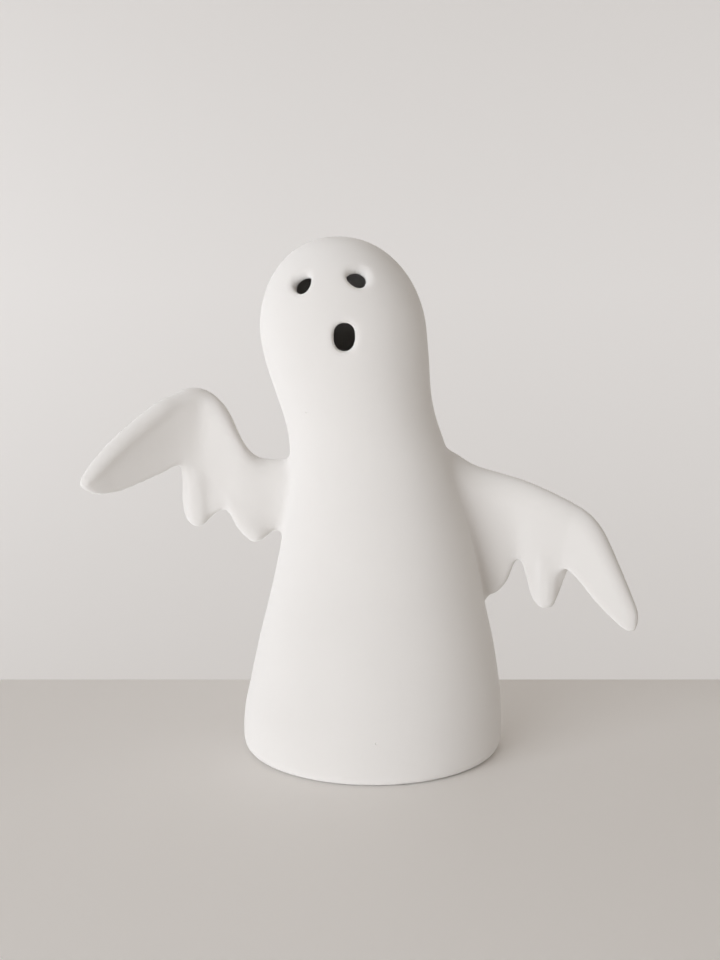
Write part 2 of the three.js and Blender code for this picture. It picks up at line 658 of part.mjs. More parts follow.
// Stops in the bayonet groove, at both ends of each lug's way
function lugStops() {
  const stops = [];
  for (const lug of LUGS) {
    const locked = lug - LUG_HALF - STOP_CLEAR;
    const open = lug + CAP_TURN + LUG_HALF + STOP_CLEAR;
    for (const from of [locked - STOP_WIDTH, open]) {
      const [low, high] = [COVER_TOP - GAP, GROOVE_TOP + GAP];
      const stop = ringPiece(HUB_R + GAP, GROOVE_R + GAP, from, from + STOP_WIDTH, low, high);
      stops.push(stop.translate(0, WELL_Y, 0));
    }
  }
  return stops;
}

function leafWindow() {
  const [low, high] = leafBump();
  return [low - GAP, high + GAP];
}

// Heights of the bump that touches the side of the lowest cell, above the well's collar
function leafBump() {
  const low = COLLAR_TOP + 2 * GAP;
  return [low, low + LEAF_BUMP[1]];
}

function screwSeat() {
  return COVER_BOTTOM + SCREW_HEAD + THREAD_GAP;
}

function knobPadTop() {
  return COVER_BOTTOM + KNOB_RECESS;
}

// The way of the knob through the plate or the switch frame
function knobWindow(length, width, z0, z1) {
  const x = length / 2 + KNOB_TRAVEL / 2 + GAP;
  const y = width / 2 + GAP;
  return block(-x, x, SWITCH_Y - y, SWITCH_Y + y, z0, z1);
}

function batteryCap() {
  const solids = [
    turned(
      [
        [0, CAP_BOTTOM],
        [CAP_R - GAP, CAP_BOTTOM],
        [CAP_R, CAP_BOTTOM + GAP],
        [CAP_R, CAP_TOP],
        [0, CAP_TOP],
      ],
      ROUND,
    ),
    bar(0, 0, HUB_R, CAP_TOP - OVERLAP, LUG_TOP, ROUND),
  ];
  for (const lug of LUGS) {
    solids.push(ringPiece(HUB_R - OVERLAP, LUG_R, lug - LUG_HALF, lug + LUG_HALF, LUG_BOTTOM, LUG_TOP));
  }
  const [length, width, depth] = COIN_SLOT;
  const slot = block(-length / 2, length / 2, -width / 2, width / 2, CAP_BOTTOM - PAST, CAP_BOTTOM + depth);
  const hollow = bar(0, 0, HUB_R - HUB_WALL, CAP_TOP, LUG_TOP + PAST, ROUND);
  return cut(join(...solids), slot, hollow).translate(0, WELL_Y, 0);
}

// A coin cell: the can is the wide positive face below, the negative face is the smaller one on top
function coinCell(number) {
  const z = CELL_BASE + number * CELL_PITCH;
  return turned(
    [
      [0, z],
      [CELL_R - GAP, z],
      [CELL_R, z + GAP],
      [CELL_R, z + CELL_HEIGHT - CELL_STEP],
      [CELL_R - CELL_RIM, z + CELL_HEIGHT - CELL_STEP],
      [CELL_R - CELL_RIM - GAP, z + CELL_HEIGHT],
      [0, z + CELL_HEIGHT],
    ],
    ROUND,
  ).translate(0, WELL_Y, 0);
}

// A side leaf outside the well, with a bump through its window and a tab for the wire
function positiveContact() {
  const y = WELL_Y - WELL_OUT_R - SEAT;
  const [bumpWidth] = LEAF_BUMP;
  return join(
    block(-LEAF_WIDTH / 2, LEAF_WIDTH / 2, y - METAL, y, COLLAR_TOP + SEAT, LEAF_TOP),
    block(-LEAF_WIDTH / 2, LEAF_WIDTH / 2, y - LEAF_TAB, y, LEAF_TOP - METAL, LEAF_TOP),
    block(-bumpWidth / 2, bumpWidth / 2, y - METAL / 2, WELL_Y - CELL_R - SEAT, ...leafBump()),
  );
}

// A plate under the well's roof, with prongs that press on the top cell and a tab through the roof
function negativeContact() {
  const top = WELL_TOP - SEAT;
  const base = top - METAL;
  const tip = CELLS_TOP + SEAT;
  const solids = [bar(0, 0, PLATE_R, base, top)];
  const prong = new THREE.Shape();
  const [root, bend] = [PLATE_R - PRONG_FOOT, PLATE_R + PRONG_REACH];
  prong.moveTo(root, base);
  prong.lineTo(bend, tip);
  prong.lineTo(bend + PRONG_FOOT, tip);
  prong.lineTo(bend + PRONG_FOOT, tip + METAL);
  prong.lineTo(bend, tip + METAL);
  prong.lineTo(root, top);
  for (const angle of PRONGS) {
    const strip = new THREE.ExtrudeGeometry(prong, { depth: PRONG_WIDTH, bevelEnabled: false });
    strip.translate(0, 0, -PRONG_WIDTH / 2).rotateX(Math.PI / 2).rotateZ(radians(angle));
    solids.push(strip);
  }
  const [x, y, width] = NEGATIVE_TAB;
  const tabTop = WELL_ROOF + NEGATIVE_TAB_ABOVE;
  solids.push(block(x - METAL / 2, x + METAL / 2, y - width / 2, y + width / 2, base, tabTop));
  solids.push(block(0, x, y - width / 2, y + width / 2, base, top));
  return join(...solids).translate(0, WELL_Y, 0);
}

function circuitBoard() {
  const holes = [-1, 1].map((side) =>
    bar((side * LEAD_SPACING) / 2, 0, LEAD / 2 + GAP, BOARD_BOTTOM - PAST, BOARD_TOP + PAST, SCREW_ROUND),
  );
  for (const angle of BOARD_SCREWS) {
    const [x, y] = around(BOARD_SCREW_R, angle);
    holes.push(bar(x, y, SCREW_R + THREAD_GAP, BOARD_BOTTOM - PAST, BOARD_TOP + PAST, SCREW_ROUND));
  }
  return cut(bar(0, 0, BOARD_R, BOARD_BOTTOM, BOARD_TOP, LARGE_ROUND), ...holes);
}

// A round lamp with a rim at its foot and a domed top
function ledLamp() {
  const top = LAMP_BOTTOM + LAMP_HEIGHT;
  const profile = [
    [0, LAMP_BOTTOM],
    [LAMP_R + LAMP_RIM, LAMP_BOTTOM],
    [LAMP_R + LAMP_RIM, LAMP_BOTTOM + LAMP_RIM_HEIGHT],
    [LAMP_R, LAMP_BOTTOM + LAMP_RIM_HEIGHT],
  ];
  for (let angle = 0; angle <= 90; angle += 18) {
    const a = radians(angle);
    profile.push([LAMP_R * Math.cos(a), top - LAMP_R + LAMP_R * Math.sin(a)]);
  }
  profile[profile.length - 1][0] = 0;
  return turned(profile, SMALL_ROUND);
}

function ledLead(side) {
  const x = (side * LEAD_SPACING) / 2;
  const half = LEAD / 2;
  return block(x - half, x + half, -half, half, BOARD_BOTTOM - LEAD_BELOW, LAMP_BOTTOM - SEAT);
}

function timerChip() {
  const [length, width, height] = CHIP;
  const [x, y] = CHIP_AT;
  const [legWidth, legOut, legHeight] = CHIP_LEG;
  const base = BOARD_TOP + SEAT;
  const low = base + CHIP_STAND;
  const solids = [block(x - length / 2, x + length / 2, y - width / 2, y + width / 2, low, base + height)];
  const reach = width / 2 + legOut;
  for (let i = 0; i < CHIP_LEGS; i++) {
    const legX = x + (i - (CHIP_LEGS - 1) / 2) * (length / CHIP_LEGS) - legWidth / 2;
    solids.push(block(legX, legX + legWidth, y - reach, y + reach, base, base + legHeight));
  }
  return join(...solids);
}

function resistor() {
  const [length, width, height] = RESISTOR;
  const [x, y] = RESISTOR_AT;
  const base = BOARD_TOP + SEAT;
  const [end, body] = [length / 2, length / 2 - RESISTOR_CAP];
  return join(
    block(x - end, x + end, y - width / 2, y + width / 2, base, base + height - RESISTOR_STEP),
    block(x - body, x + body, y - width / 2, y + width / 2, base, base + height),
  );
}

function moduleHousing() {
  const outer = turned([
    [0, HOUSING_BOTTOM],
    [HOUSING_R, HOUSING_BOTTOM],
    [HOUSING_R, GRIP_TOP + GAP],
    [HOUSING_R + BEAD, GRIP_TOP + GAP],
    [HOUSING_R, GRIP_TOP + GAP + BEAD_HEIGHT],
    [HOUSING_R, ROOF_TOP - HOUSING_BEVEL],
    [HOUSING_R - HOUSING_BEVEL, ROOF_TOP],
    [LAMP_HOLE_R + LAMP_COLLAR, ROOF_TOP],
    [LAMP_HOLE_R + LAMP_COLLAR, ROOF_TOP + LAMP_COLLAR_HEIGHT],
    [0, ROOF_TOP + LAMP_COLLAR_HEIGHT],
  ]);
  const shell = cut(
    outer,
    bar(0, 0, HOUSING_R - HOUSING_WALL, HOUSING_BOTTOM - PAST, ROOF_BOTTOM, LARGE_ROUND),
    bar(0, 0, LAMP_HOLE_R, ROOF_BOTTOM - PAST, ROOF_TOP + LAMP_COLLAR_HEIGHT + PAST),
  );
  const bossTop = ROOF_BOTTOM + OVERLAP;
  const bosses = [];
  const holes = [];
  for (const angle of COVER_SCREWS) {
    const [x, y] = around(COVER_SCREW_R, angle);
    const webEnd = HOUSING_R - OVERLAP;
    const web = block(COVER_SCREW_R, webEnd, -BOSS_WEB / 2, BOSS_WEB / 2, HOUSING_BOTTOM, bossTop);
    bosses.push(bar(x, y, BOSS_R, HOUSING_BOTTOM, bossTop), web.rotateZ(radians(angle)));
    const end = screwSeat() + COVER_SCREW_LENGTH + PAST;
    holes.push(bar(x, y, SCREW_R + THREAD_GAP, HOUSING_BOTTOM - PAST, end, SCREW_ROUND));
  }
  for (const angle of BOARD_SCREWS) {
    const [x, y] = around(BOARD_SCREW_R, angle);
    bosses.push(bar(x, y, BOSS_R, BOARD_TOP + SEAT, bossTop));
    holes.push(bar(x, y, SCREW_R + THREAD_GAP, BOARD_TOP - PAST, ROOF_BOTTOM + GAP, SCREW_ROUND));
  }
  return cut(join(shell, ...bosses), ...holes);
}

// A silicone ring with rounded ribs that grip the ceramic socket
function gripRing() {
  const pitch = (GRIP_TOP - GRIP_BOTTOM) / GRIP_RIBS;
  const profile = [[GRIP_IN_R, GRIP_BOTTOM]];
  for (let rib = 0; rib < GRIP_RIBS; rib++) {
    const z = GRIP_BOTTOM + rib * pitch;
    const slope = GRIP_SLOPE * pitch;
    profile.push([GRIP_OUT_R - GRIP_GROOVE, z], [GRIP_OUT_R, z + slope], [GRIP_OUT_R, z + pitch - slope]);
  }
  profile.push([GRIP_OUT_R - GRIP_GROOVE, GRIP_TOP], [GRIP_IN_R, GRIP_TOP], [GRIP_IN_R, GRIP_BOTTOM]);
  return turned(profile);
}

// A screw whose head lies under the height z and whose shank points up
function screw(x, y, z, length) {
  const profile = [
    [0, z - SCREW_HEAD],
    [SCREW_HEAD_R - SCREW_CHAMFER, z - SCREW_HEAD],
    [SCREW_HEAD_R, z - SCREW_HEAD + SCREW_CHAMFER],
    [SCREW_HEAD_R, z],
    [SCREW_R, z],
    [SCREW_R, z + length - SCREW_R],
    [0, z + length],
  ];
  const [slotLength, width, depth] = SCREW_SLOT;
  const [half, base] = [slotLength / 2, z - SCREW_HEAD];
  const slots = [0, 90].map((angle) => {
    return block(-half, half, -width / 2, width / 2, base - PAST, base + depth).rotateZ(radians(angle));
  });
  return cut(turned(profile, SCREW_ROUND), ...slots).translate(x, y, 0);
}

// A folded steel frame, open above, with a window below for the knob
function switchFrame() {
  const [length, width, height] = SWITCH;
  const top = SWITCH_BOTTOM + height;
  const walls = SWITCH_METAL;
  return cut(
    block(-length / 2, length / 2, SWITCH_Y - width / 2, SWITCH_Y + width / 2, SWITCH_BOTTOM, top),
    block(
      -length / 2 + walls,
      length / 2 - walls,
      SWITCH_Y - width / 2 + walls,
      SWITCH_Y + width / 2 - walls,
      SWITCH_BOTTOM + walls,
      top + PAST,
    ),
    knobWindow(KNOB_STEM, KNOB_STEM, SWITCH_BOTTOM - PAST, SWITCH_BOTTOM + PAST),
  );
}

function switchInsulatorTop() {
  return SWITCH_BOTTOM + SWITCH[2] + SWITCH_STANDS;
}

function switchBase() {
  const x = SWITCH[0] / 2 - SWITCH_METAL - SEAT;
  const y = SWITCH[1] / 2 - SWITCH_METAL - SEAT;
  const top = switchInsulatorTop();
  const body = block(-x, x, SWITCH_Y - y, SWITCH_Y + y, top - SWITCH_INSULATOR, top);
  const holes = [-1, 0, 1].map((place) => switchPin(place, SEAT));
  return cut(body, ...holes);
}

// A terminal pin, or the hole that it stands in when it is grown
function switchPin(place, grown = 0) {
  const [width, depth, height] = PIN;
  const x = place * PIN_SPACING;
  const bottom = switchInsulatorTop() - SWITCH_INSULATOR + SEAT;
  return block(
    x - width / 2 - grown,
    x + width / 2 + grown,
    SWITCH_Y - depth / 2 - grown,
    SWITCH_Y + depth / 2 + grown,
    bottom - 3 * grown,
    bottom + height + grown,
  );
}

function switchKnob() {
  const x = -KNOB_TRAVEL / 2;
  const [length, width] = KNOB_PAD;
  const low = COVER_BOTTOM - KNOB_BELOW;
  const stem = KNOB_STEM / 2;
  const solids = [
    block(-length / 2, length / 2, -width / 2, width / 2, low + KNOB_RIDGE, knobPadTop()),
    block(-stem, stem, -stem, stem, knobPadTop() - OVERLAP, SWITCH_BOTTOM + KNOB_IN),
  ];
  const pitch = length / KNOB_RIDGES;
  for (let i = 0; i < KNOB_RIDGES; i++) {
    const ridgeX = (i - (KNOB_RIDGES - 1) / 2) * pitch;
    const ridgeTop = low + 2 * KNOB_RIDGE;
    solids.push(block(ridgeX - pitch / 4, ridgeX + pitch / 4, -width / 2, width / 2, low, ridgeTop));
  }
  return join(...solids).translate(x, SWITCH_Y, 0);
}

// Wires, from the contact or pin that they leave to the place that they are soldered to
function wirePositive() {
  const tabY = WELL_Y - WELL_OUT_R - SEAT - LEAF_TAB / 2;
  return wire(
    [0.2, tabY - 0.3, LEAF_TOP + SEAT],
    [0.5, tabY - 0.4, LEAF_TOP + 1],
    [1.2, tabY - 1.3, LEAF_TOP + 1.9],
    [0.9, SWITCH_Y + 0.9, LEAF_TOP + 1.8],
    [0, SWITCH_Y, pinTop() + 1.2],
    [0, SWITCH_Y, pinTop() + SEAT],
  );
}

function wireSwitched() {
  const [x, y] = around(BOARD_R - PAD_INSET, SWITCHED_PAD);
  return wire(
    [-PIN_SPACING, SWITCH_Y, pinTop() + SEAT],
    [-PIN_SPACING, SWITCH_Y, pinTop() + 1.2],
    [-PIN_SPACING - 1.1, SWITCH_Y + 0.7, pinTop() + 3],
    [x + 0.3, y - 1.3, BOARD_BOTTOM - 2.2],
    [x, y - 0.2, BOARD_BOTTOM - 1.2],
    [x, y, BOARD_BOTTOM - SEAT],
  );
}

function wireNegative() {
  const [tabX, tabY] = [NEGATIVE_TAB[0] + METAL / 2 + SEAT, WELL_Y + NEGATIVE_TAB[1]];
  const [x, y] = around(BOARD_R - PAD_INSET, NEGATIVE_PAD);
  const z = WELL_ROOF + 0.8;
  return wire(
    [tabX, tabY, z],
    [tabX + 1.1, tabY, z],
    [x - 1.4, tabY - 1.2, z + 0.1],
    [x + 0.2, y + 5.2, z + 0.2],
    [x + 0.1, y + 1.6, z + 0.5],
    [x, y + 0.2, BOARD_BOTTOM - 0.9],
    [x, y, BOARD_BOTTOM - SEAT],
  );
}

function pinTop() {
  return switchInsulatorTop() - SWITCH_INSULATOR + SEAT + PIN[2];
}

const figurine = new THREE.Group();
const lightUnit = new THREE.Group();
lightUnit.name = "light_unit";
figurine.add(lightUnit);

function add(parent, name, geometry, material) {
  const mesh = new THREE.Mesh(geometry, material);
  mesh.name = name;
  parent.add(mesh);
}

add(figurine, "ceramic_body", ceramicBody(), CERAMIC);
add(lightUnit, "base_cover", baseCover(), WHITE_PLASTIC);
add(lightUnit, "module_housing", moduleHousing(), WHITE_PLASTIC);
add(lightUnit, "grip_ring", gripRing(), SILICONE);
COVER_SCREWS.forEach((angle, i) => {
  const [x, y] = around(COVER_SCREW_R, angle);
  add(lightUnit, `cover_screw_${i + 1}`, screw(x, y, screwSeat() - SEAT, COVER_SCREW_LENGTH), STEEL);
});
add(lightUnit, "battery_cap", batteryCap(), WHITE_PLASTIC);
for (let i = 0; i < CELLS; i++) {
  add(lightUnit, `coin_cell_${i + 1}`, coinCell(i), STEEL);
}
add(lightUnit, "positive_contact", positiveContact(), NICKEL);
add(lightUnit, "negative_contact", negativeContact(), NICKEL);
add(lightUnit, "circuit_board", circuitBoard(), BOARD_GREEN);
BOARD_SCREWS.forEach((angle, i) => {
  const [x, y] = around(BOARD_SCREW_R, angle);
  add(lightUnit, `board_screw_${i + 1}`, screw(x, y, BOARD_BOTTOM - SEAT, BOARD_SCREW_LENGTH), STEEL);
});
add(lightUnit, "led_lamp", ledLamp(), CLEAR_EPOXY);
[-1, 1].forEach((side, i) => add(lightUnit, `led_lead_${i + 1}`, ledLead(side), NICKEL));
add(lightUnit, "timer_chip", timerChip(), BLACK_PLASTIC);
add(lightUnit, "resistor", resistor(), BLACK_PLASTIC);
add(lightUnit, "switch_frame", switchFrame(), STEEL);
add(lightUnit, "switch_base", switchBase(), PHENOLIC);
[-1, 0, 1].forEach((place, i) => add(lightUnit, `switch_pin_${i + 1}`, switchPin(place), NICKEL));
add(lightUnit, "switch_knob", switchKnob(), BLACK_PLASTIC);
add(lightUnit, "wire_positive", wirePositive(), RED_WIRE);
add(lightUnit, "wire_switched", wireSwitched(), RED_WIRE);
add(lightUnit, "wire_negative", wireNegative(), BLACK_WIRE);

// The origin lies on the table under the middle of the whole figure
const middle = new THREE.Box3().setFromObject(figurine, true).getCenter(new THREE.Vector3());
figurine.position.set(-middle.x, -middle.y, 0);

export default figurine;
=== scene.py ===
# A battery-lit ceramic ghost figurine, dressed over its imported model. Laid out as an add-on, run as a script.
import json
import math

import bmesh
import bpy
from bpy.props import FloatProperty, FloatVectorProperty, IntProperty, PointerProperty
from bpy.types import Operator, Panel, PropertyGroup
from mathutils import Matrix, Vector


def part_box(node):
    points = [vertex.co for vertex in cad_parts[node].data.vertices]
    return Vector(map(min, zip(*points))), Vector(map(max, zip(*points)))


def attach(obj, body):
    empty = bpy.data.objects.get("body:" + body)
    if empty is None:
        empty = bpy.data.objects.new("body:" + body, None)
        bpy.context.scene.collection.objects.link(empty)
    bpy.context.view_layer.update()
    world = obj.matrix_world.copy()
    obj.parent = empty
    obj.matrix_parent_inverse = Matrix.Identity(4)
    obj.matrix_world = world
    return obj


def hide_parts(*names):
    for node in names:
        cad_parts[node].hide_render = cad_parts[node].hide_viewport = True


bl_info = {
    "name": "Ceramic ghost figurine",
    "version": (1, 0, 0),
    "blender": (4, 5, 0),
    "location": "View3D > Sidebar > Ghost",
    "description": "Makes a matte ceramic ghost with the battery light unit in its foot",
    "category": "Add Mesh",
}

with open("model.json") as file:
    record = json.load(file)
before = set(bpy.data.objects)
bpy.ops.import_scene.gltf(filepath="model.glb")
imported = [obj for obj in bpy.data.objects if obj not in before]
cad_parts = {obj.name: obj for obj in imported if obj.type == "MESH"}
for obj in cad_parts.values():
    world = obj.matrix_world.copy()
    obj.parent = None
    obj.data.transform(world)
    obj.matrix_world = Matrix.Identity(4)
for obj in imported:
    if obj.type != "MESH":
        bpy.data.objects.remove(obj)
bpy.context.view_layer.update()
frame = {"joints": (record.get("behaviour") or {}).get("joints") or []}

MM = 0.001
COVER_LOW, COVER_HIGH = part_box("base_cover")
BASE_X = (COVER_LOW.x + COVER_HIGH.x) / 2
KNOB_TRAVEL = next(joint["range_m"][1] for joint in frame["joints"] if joint["name"] == "switch_slide") / MM

# Body sections from foot to head, in millimetres: height, radius, sideways lean
BODY = [
    (0, 33.6, 0),
    (0.8, 34.9, 0),
    (2.6, 35.6, 0),
    (7, 35.7, 0.05),
    (12.4, 35.3, 0.2),
    (18.3, 34.4, 0.6),
    (29.8, 32.3, 0.9),
    (41.3, 29.6, 1.05),
    (52.7, 27.1, 1.1),
    (65, 24.6, 0.8),
    (77, 22.2, -0.3),
    (86, 20.9, -1.7),
    (91.6, 20.4, -3.2),
    (97.1, 20.6, -4.7),
    (102.6, 21.2, -5.9),
    (108, 21.9, -6.9),
    (115, 22.3, -7.9),
]
DOME_RISE = 26
DOME_LEAN = -1.5
DOME_FULLNESS = 0.94
DOME_STEP = 6  # degrees
BODY_STEPS = 3
BODY_SIDES = 72

# Arm ribs from shoulder to tip: top point, low point, radius of the top edge and of the low edge
LEFT_ARM = [
    (-18, 2, 79, -18, 1, 62, 6.5, 4),
    (-24.8, 3, 80.4, -26.4, 2, 60.7, 5.5, 3.2),
    (-29.3, 3, 80.5, -29.8, 0.8, 58.2, 5.1, 3),
    (-32.3, 3, 81.6, -32.8, -0.2, 57.6, 4.9, 3),
    (-34.7, 3, 84.3, -35.5, -0.6, 60.5, 4.7, 2.6),
    (-36.5, 3, 88, -37.7, -0.2, 64.2, 4.5, 2),
    (-38.4, 3.3, 92.1, -40.1, 0.4, 66.7, 4.3, 1.7),
    (-40.6, 3.9, 95.4, -43.1, 0.8, 65.2, 4.2, 2),
    (-43.3, 4.8, 98, -46.1, 1, 62.9, 4.1, 2.2),
    (-46, 5.2, 99.4, -48.7, 1.2, 61.9, 4, 2.3),
    (-48.3, 3.8, 100.1, -50.7, 1, 64.4, 3.7, 2.1),
    (-50.3, 1.9, 99.9, -50.7, 0.6, 71.5, 3.3, 1.8),
    (-52.3, 0, 99.2, -52, 0, 78.7, 3, 1.6),
    (-57.6, -4.8, 97.2, -57.6, -3.8, 77.3, 2.5, 1.5),
    (-66.8, -13, 90.6, -67.4, -11.4, 74.5, 2.2, 1.5),
    (-72.5, -17.8, 84.9, -72.9, -16.6, 74.8, 1.9, 1.5),
    (-76.1, -20, 79.7, -75.8, -20, 76.9, 1.2, 1.2),
    (-76.8, -20.6, 78.8, -76.6, -20.6, 77.7, 0.5, 0.5),
]
RIGHT_ARM = [
    (14, 3, 84, 22, 9, 44, 7, 4),
    (20.6, 2.2, 82.5, 30.6, 7.6, 39.3, 6.2, 3),
    (26.3, 1.7, 79, 32.3, 6.6, 40.9, 5.6, 2.8),
    (31.2, 1, 77.5, 34.8, 5, 42.4, 5.2, 2.6),
    (35.8, 0.2, 76.3, 37, 3, 46, 4.8, 2.2),
    (40.3, -0.9, 75.2, 38.7, 1.2, 51.4, 4.5, 1.8),
    (44.1, -2.1, 74, 40.4, -0.8, 53.1, 4.3, 1.7),
    (47.2, -3.2, 72.9, 41.8, -2.2, 49.3, 4.2, 2),
    (49.9, -4.3, 71.8, 43.7, -3.6, 42.7, 4.1, 2.1),
    (52.2, -5.4, 70.8, 46.8, -4.8, 40.3, 4, 2.2),
    (54.5, -6.6, 69.7, 49.4, -5.8, 42.8, 4, 1.7),
    (56.9, -7.9, 68.4, 50.1, -6.8, 48.9, 3.9, 1.5),
    (59.2, -9.3, 66.6, 51.6, -8, 52.4, 3.8, 1.5),
    (61.7, -11.4, 63.3, 55.1, -10.6, 49.9, 3.6, 1.7),
    (64.8, -14.6, 56.7, 59.7, -14, 44.7, 3.2, 1.8),
    (68.3, -17.6, 48.8, 64.3, -17.2, 40.4, 2.7, 1.8),
    (70.4, -19.4, 43.3, 67.6, -19.2, 38, 2, 1.7),
    (70.1, -20, 40.1, 68.8, -20, 38.1, 1.1, 1.1),
    (69.9, -20.5, 39.5, 69.3, -20.5, 38.8, 0.5, 0.5),
]
RIB_STEPS = 4
RIB_SIDES = 28

# Rounded ridges on the arms' faces: drips, and the thick upper edge of the left arm; x, y, z and radius
RIDGE_STEPS = 8
RIDGES = [
    [(-48.2, 0.6, 78, 1.6), (-47.9, 0.4, 74.5, 2.9), (-47.7, 0.5, 70, 3.2), (-47.6, 0.6, 65, 3.2)],
    [(-40.4, 0.8, 74, 2), (-36.8, 0.2, 68, 3), (-33.9, -0.3, 63.4, 3.5), (-32, -0.3, 61.4, 3.4)],
    [
        (-50, 1.4, 96.4, 2.2),
        (-52.6, -0.9, 96.4, 2.5),
        (-57.6, -5.6, 94.5, 2.6),
        (-66.8, -13.5, 87.9, 2.5),
        (-72.6, -18, 82.4, 2.2),
        (-75.6, -20.2, 79, 1.6),
    ],
    [(46, -4, 60, 1.8), (46.8, -5.2, 54, 2.9), (47.2, -5.5, 47, 3.1), (47, -5.5, 43.3, 3)],
]

# Eyes and mouth. A roundness of 1 is an ellipse. The outline narrows by a share towards a direction in
# degrees. The soft lip round a hole has a reach and a depth.
FACE_HOLES = [
    {
        "centre": (-19.0, -14.6, 131.2),
        "facing": (-0.458, -0.695, 0.552),
        "width": 5.5,
        "height": 5.3,
        "roundness": 1,
        "narrowing": (60, 0.3),
        "lip_reach": 3.2,
        "lip_depth": 1.6,
    },
    {
        "centre": (-4.0, -15.7, 132.8),
        "facing": (0.229, -0.758, 0.61),
        "width": 5.5,
        "height": 5.1,
        "roundness": 1,
        "narrowing": (160, 0.25),
        "lip_reach": 3.4,
        "lip_depth": 1.7,
    },
    {
        "centre": (-7.5, -22.2, 117.7),
        "facing": (0.02, -0.996, 0.09),
        "width": 5.6,
        "height": 7.4,
        "roundness": 0.82,
        "narrowing": (270, 0.07),
        "lip_reach": 2.6,
        "lip_depth": 1.5,
    },
]
HOLE_SIDES = 48
HOLE_INSIDE = 3  # a hole's cutter reaches this far inside the wall
LIP_END = 80  # degrees through which a lip curves
LIP_STEP = 8

# Pinholes in the bisque: place on the skin, and radius
PINHOLES = [
    ((-17.6, -16.1, 96.8), 0.35),
    ((0.7, -35.3, 12.3), 0.3),
]
# Colour of the painted shade inside each pinhole
PINHOLE_SHADOW = (0.16, 0.14, 0.13)

# Patches in the bisque's colour
PATCH_SCALE = 45
PATCH_SHADE = 0.965  # a dark patch's share of the clay's colour

# Where the clay is smoothed further: x, z, share of the distance in z that counts, reach and strength
SHOULDERS = [(-25, 72, 0.6, 12, 2), (23, 80, 0.6, 13, 2)]
ARM_BEND = [(-48, 86, 0.42, 9, 1.4)]
SKIN_PASSES = 5
CUT_PASSES = 3
KEPT_TRIANGLES = 0.6

# Clearances and finish of the light unit's pieces, in millimetres
GAP = 0.3  # round a piece that seats or turns in another
SEAT = 0.15  # between faces that rest on each other
JOIN = 0.5  # joined forms reach this far into each other
THROUGH = 1  # a cutter reaches this far past what it cuts
EDGE = 0.15  # rounding of small moulded edges
METAL = 0.3  # thickness of the contacts and of the switch's can
TURN_STEPS = 96  # faces round a large round form
LENS_STEPS = 64
HEAD_STEPS = 48
BOSS_STEPS = 40
BORE_STEPS = 32
FINE_STEPS = 24
BLOCK_STEPS = 3  # faces across a block's rounded edge
ARC_STEP = 3  # degrees
SHARP = 32  # degrees between two faces from which their edge stays sharp
CORNER_SHARE = 0.45  # the part of a straight stretch that a rounded corner may take up

# Base cover with the battery well, in millimetres and degrees
WELL_WALL = 1.2
COVER_THICK = 2.7
COVER_EDGE = 0.6
RAIL_WALL = 0.9
RAIL_DEPTH = 2
RAIL_SINK = 0.3
LEAF_PAST_RAIL = 1  # the side leaf stands this far above its rails
SWITCH_RIB = 2.8
NAIL_NOTCH_R = 5
NAIL_NOTCH_DEPTH = 1.2

# Battery cap
CAP_THICK = 1.4
CAP_EDGE = 0.5
LUG_EDGE = 0.12
CAP_COVERS = 0.7  # how far the lid reaches past the lugs
CAP_TURN = 35  # from locked to open
HUB_WALL = 1.4
LUGS = (90, 210, 330)
LUG_REACH = 1.2
LUG_HEIGHT = 0.8
LUG_HALF = 10
STOP_CLEAR = 1.5
COIN_SLOT = (11, 1.7, 0.8)  # length, width, depth
SLOT_EDGE = 0.3

# Housing and grip ring
BOSS_R = 2.2
BOSS_WEB = 1.6
WEB_START = 1.5  # a web starts this far outside its boss's middle
BEAD_HEIGHT = 0.9
ROOF_BEVEL = 1.2
COLLAR_WALL = 1.6
HOUSING_EDGE = 0.35
RIB_DEPTH = 0.45
RIB_EDGE = 0.22
RIB_SLOPE = 0.3  # share of a rib's pitch taken up by each of its slopes
SEAM = 0.3  # an outline that closes on a flank starts this far from its corner

# Screws: shares are of the head's radius for the head, and of the screw's for the rest
COVER_SCREWS = ("cover_screw_1", "cover_screw_2", "cover_screw_3")
BOARD_SCREWS = ("board_screw_1", "board_screw_2")
SCREW_R = 0.9
SCREW_HEAD = 1.1
CROWN_SHARE, CROWN_DEPTH = 0.7, 0.05
HEAD_EDGE = 0.55
NECK_SHARE = 0.8
THREAD_ROOT = 0.78
THREAD_START = 0.2
THREAD_FLANK = 0.3
THREAD_PITCH = 0.65
TIP_HEIGHT = 1.1
POINT_SHARE, POINT_HEIGHT = 0.6, 0.4
CROSS_SLOT = (2.2, 0.44, 0.65)  # length, width, depth
CROSS_TURNS = (20, 110)

# Coin cells: the can's edge, the smaller face that stands above it, and the seal between them
CELL_STEP = 0.45
CELL_RIM = 1.35
CAN_DISH = 0.4
CAN_EDGE = 0.45
FACE_SINK = 0.6
FACE_EDGE = 0.3
SEAL_IN, SEAL_OUT = 0.1, 0.3
SEAL_SINK, SEAL_RISE = 0.3, 0.1

# Contacts: the leaf's bends are heights above its low end, the prong's are reaches from the plate's middle
TAB_REACH = 1.9
LEAF_BENDS = (0.45, 0.8, 1.25, 1.6)
LEAF_EDGE = 0.35
PLATE_R = 4.5
PRONG_BENDS = (3.5, 4.6, 6.5, 7.5)
PRONG_WIDTH = 1.4
PRONG_EDGE = 0.5
PRONG_TIP = 0.1  # a prong's tip lies this far above the plate's lowest point
PRONG_TURNS = (30, 150, 270)
NEGATIVE_TAB = (3.6, 3.6)
TAB_HALF = 1

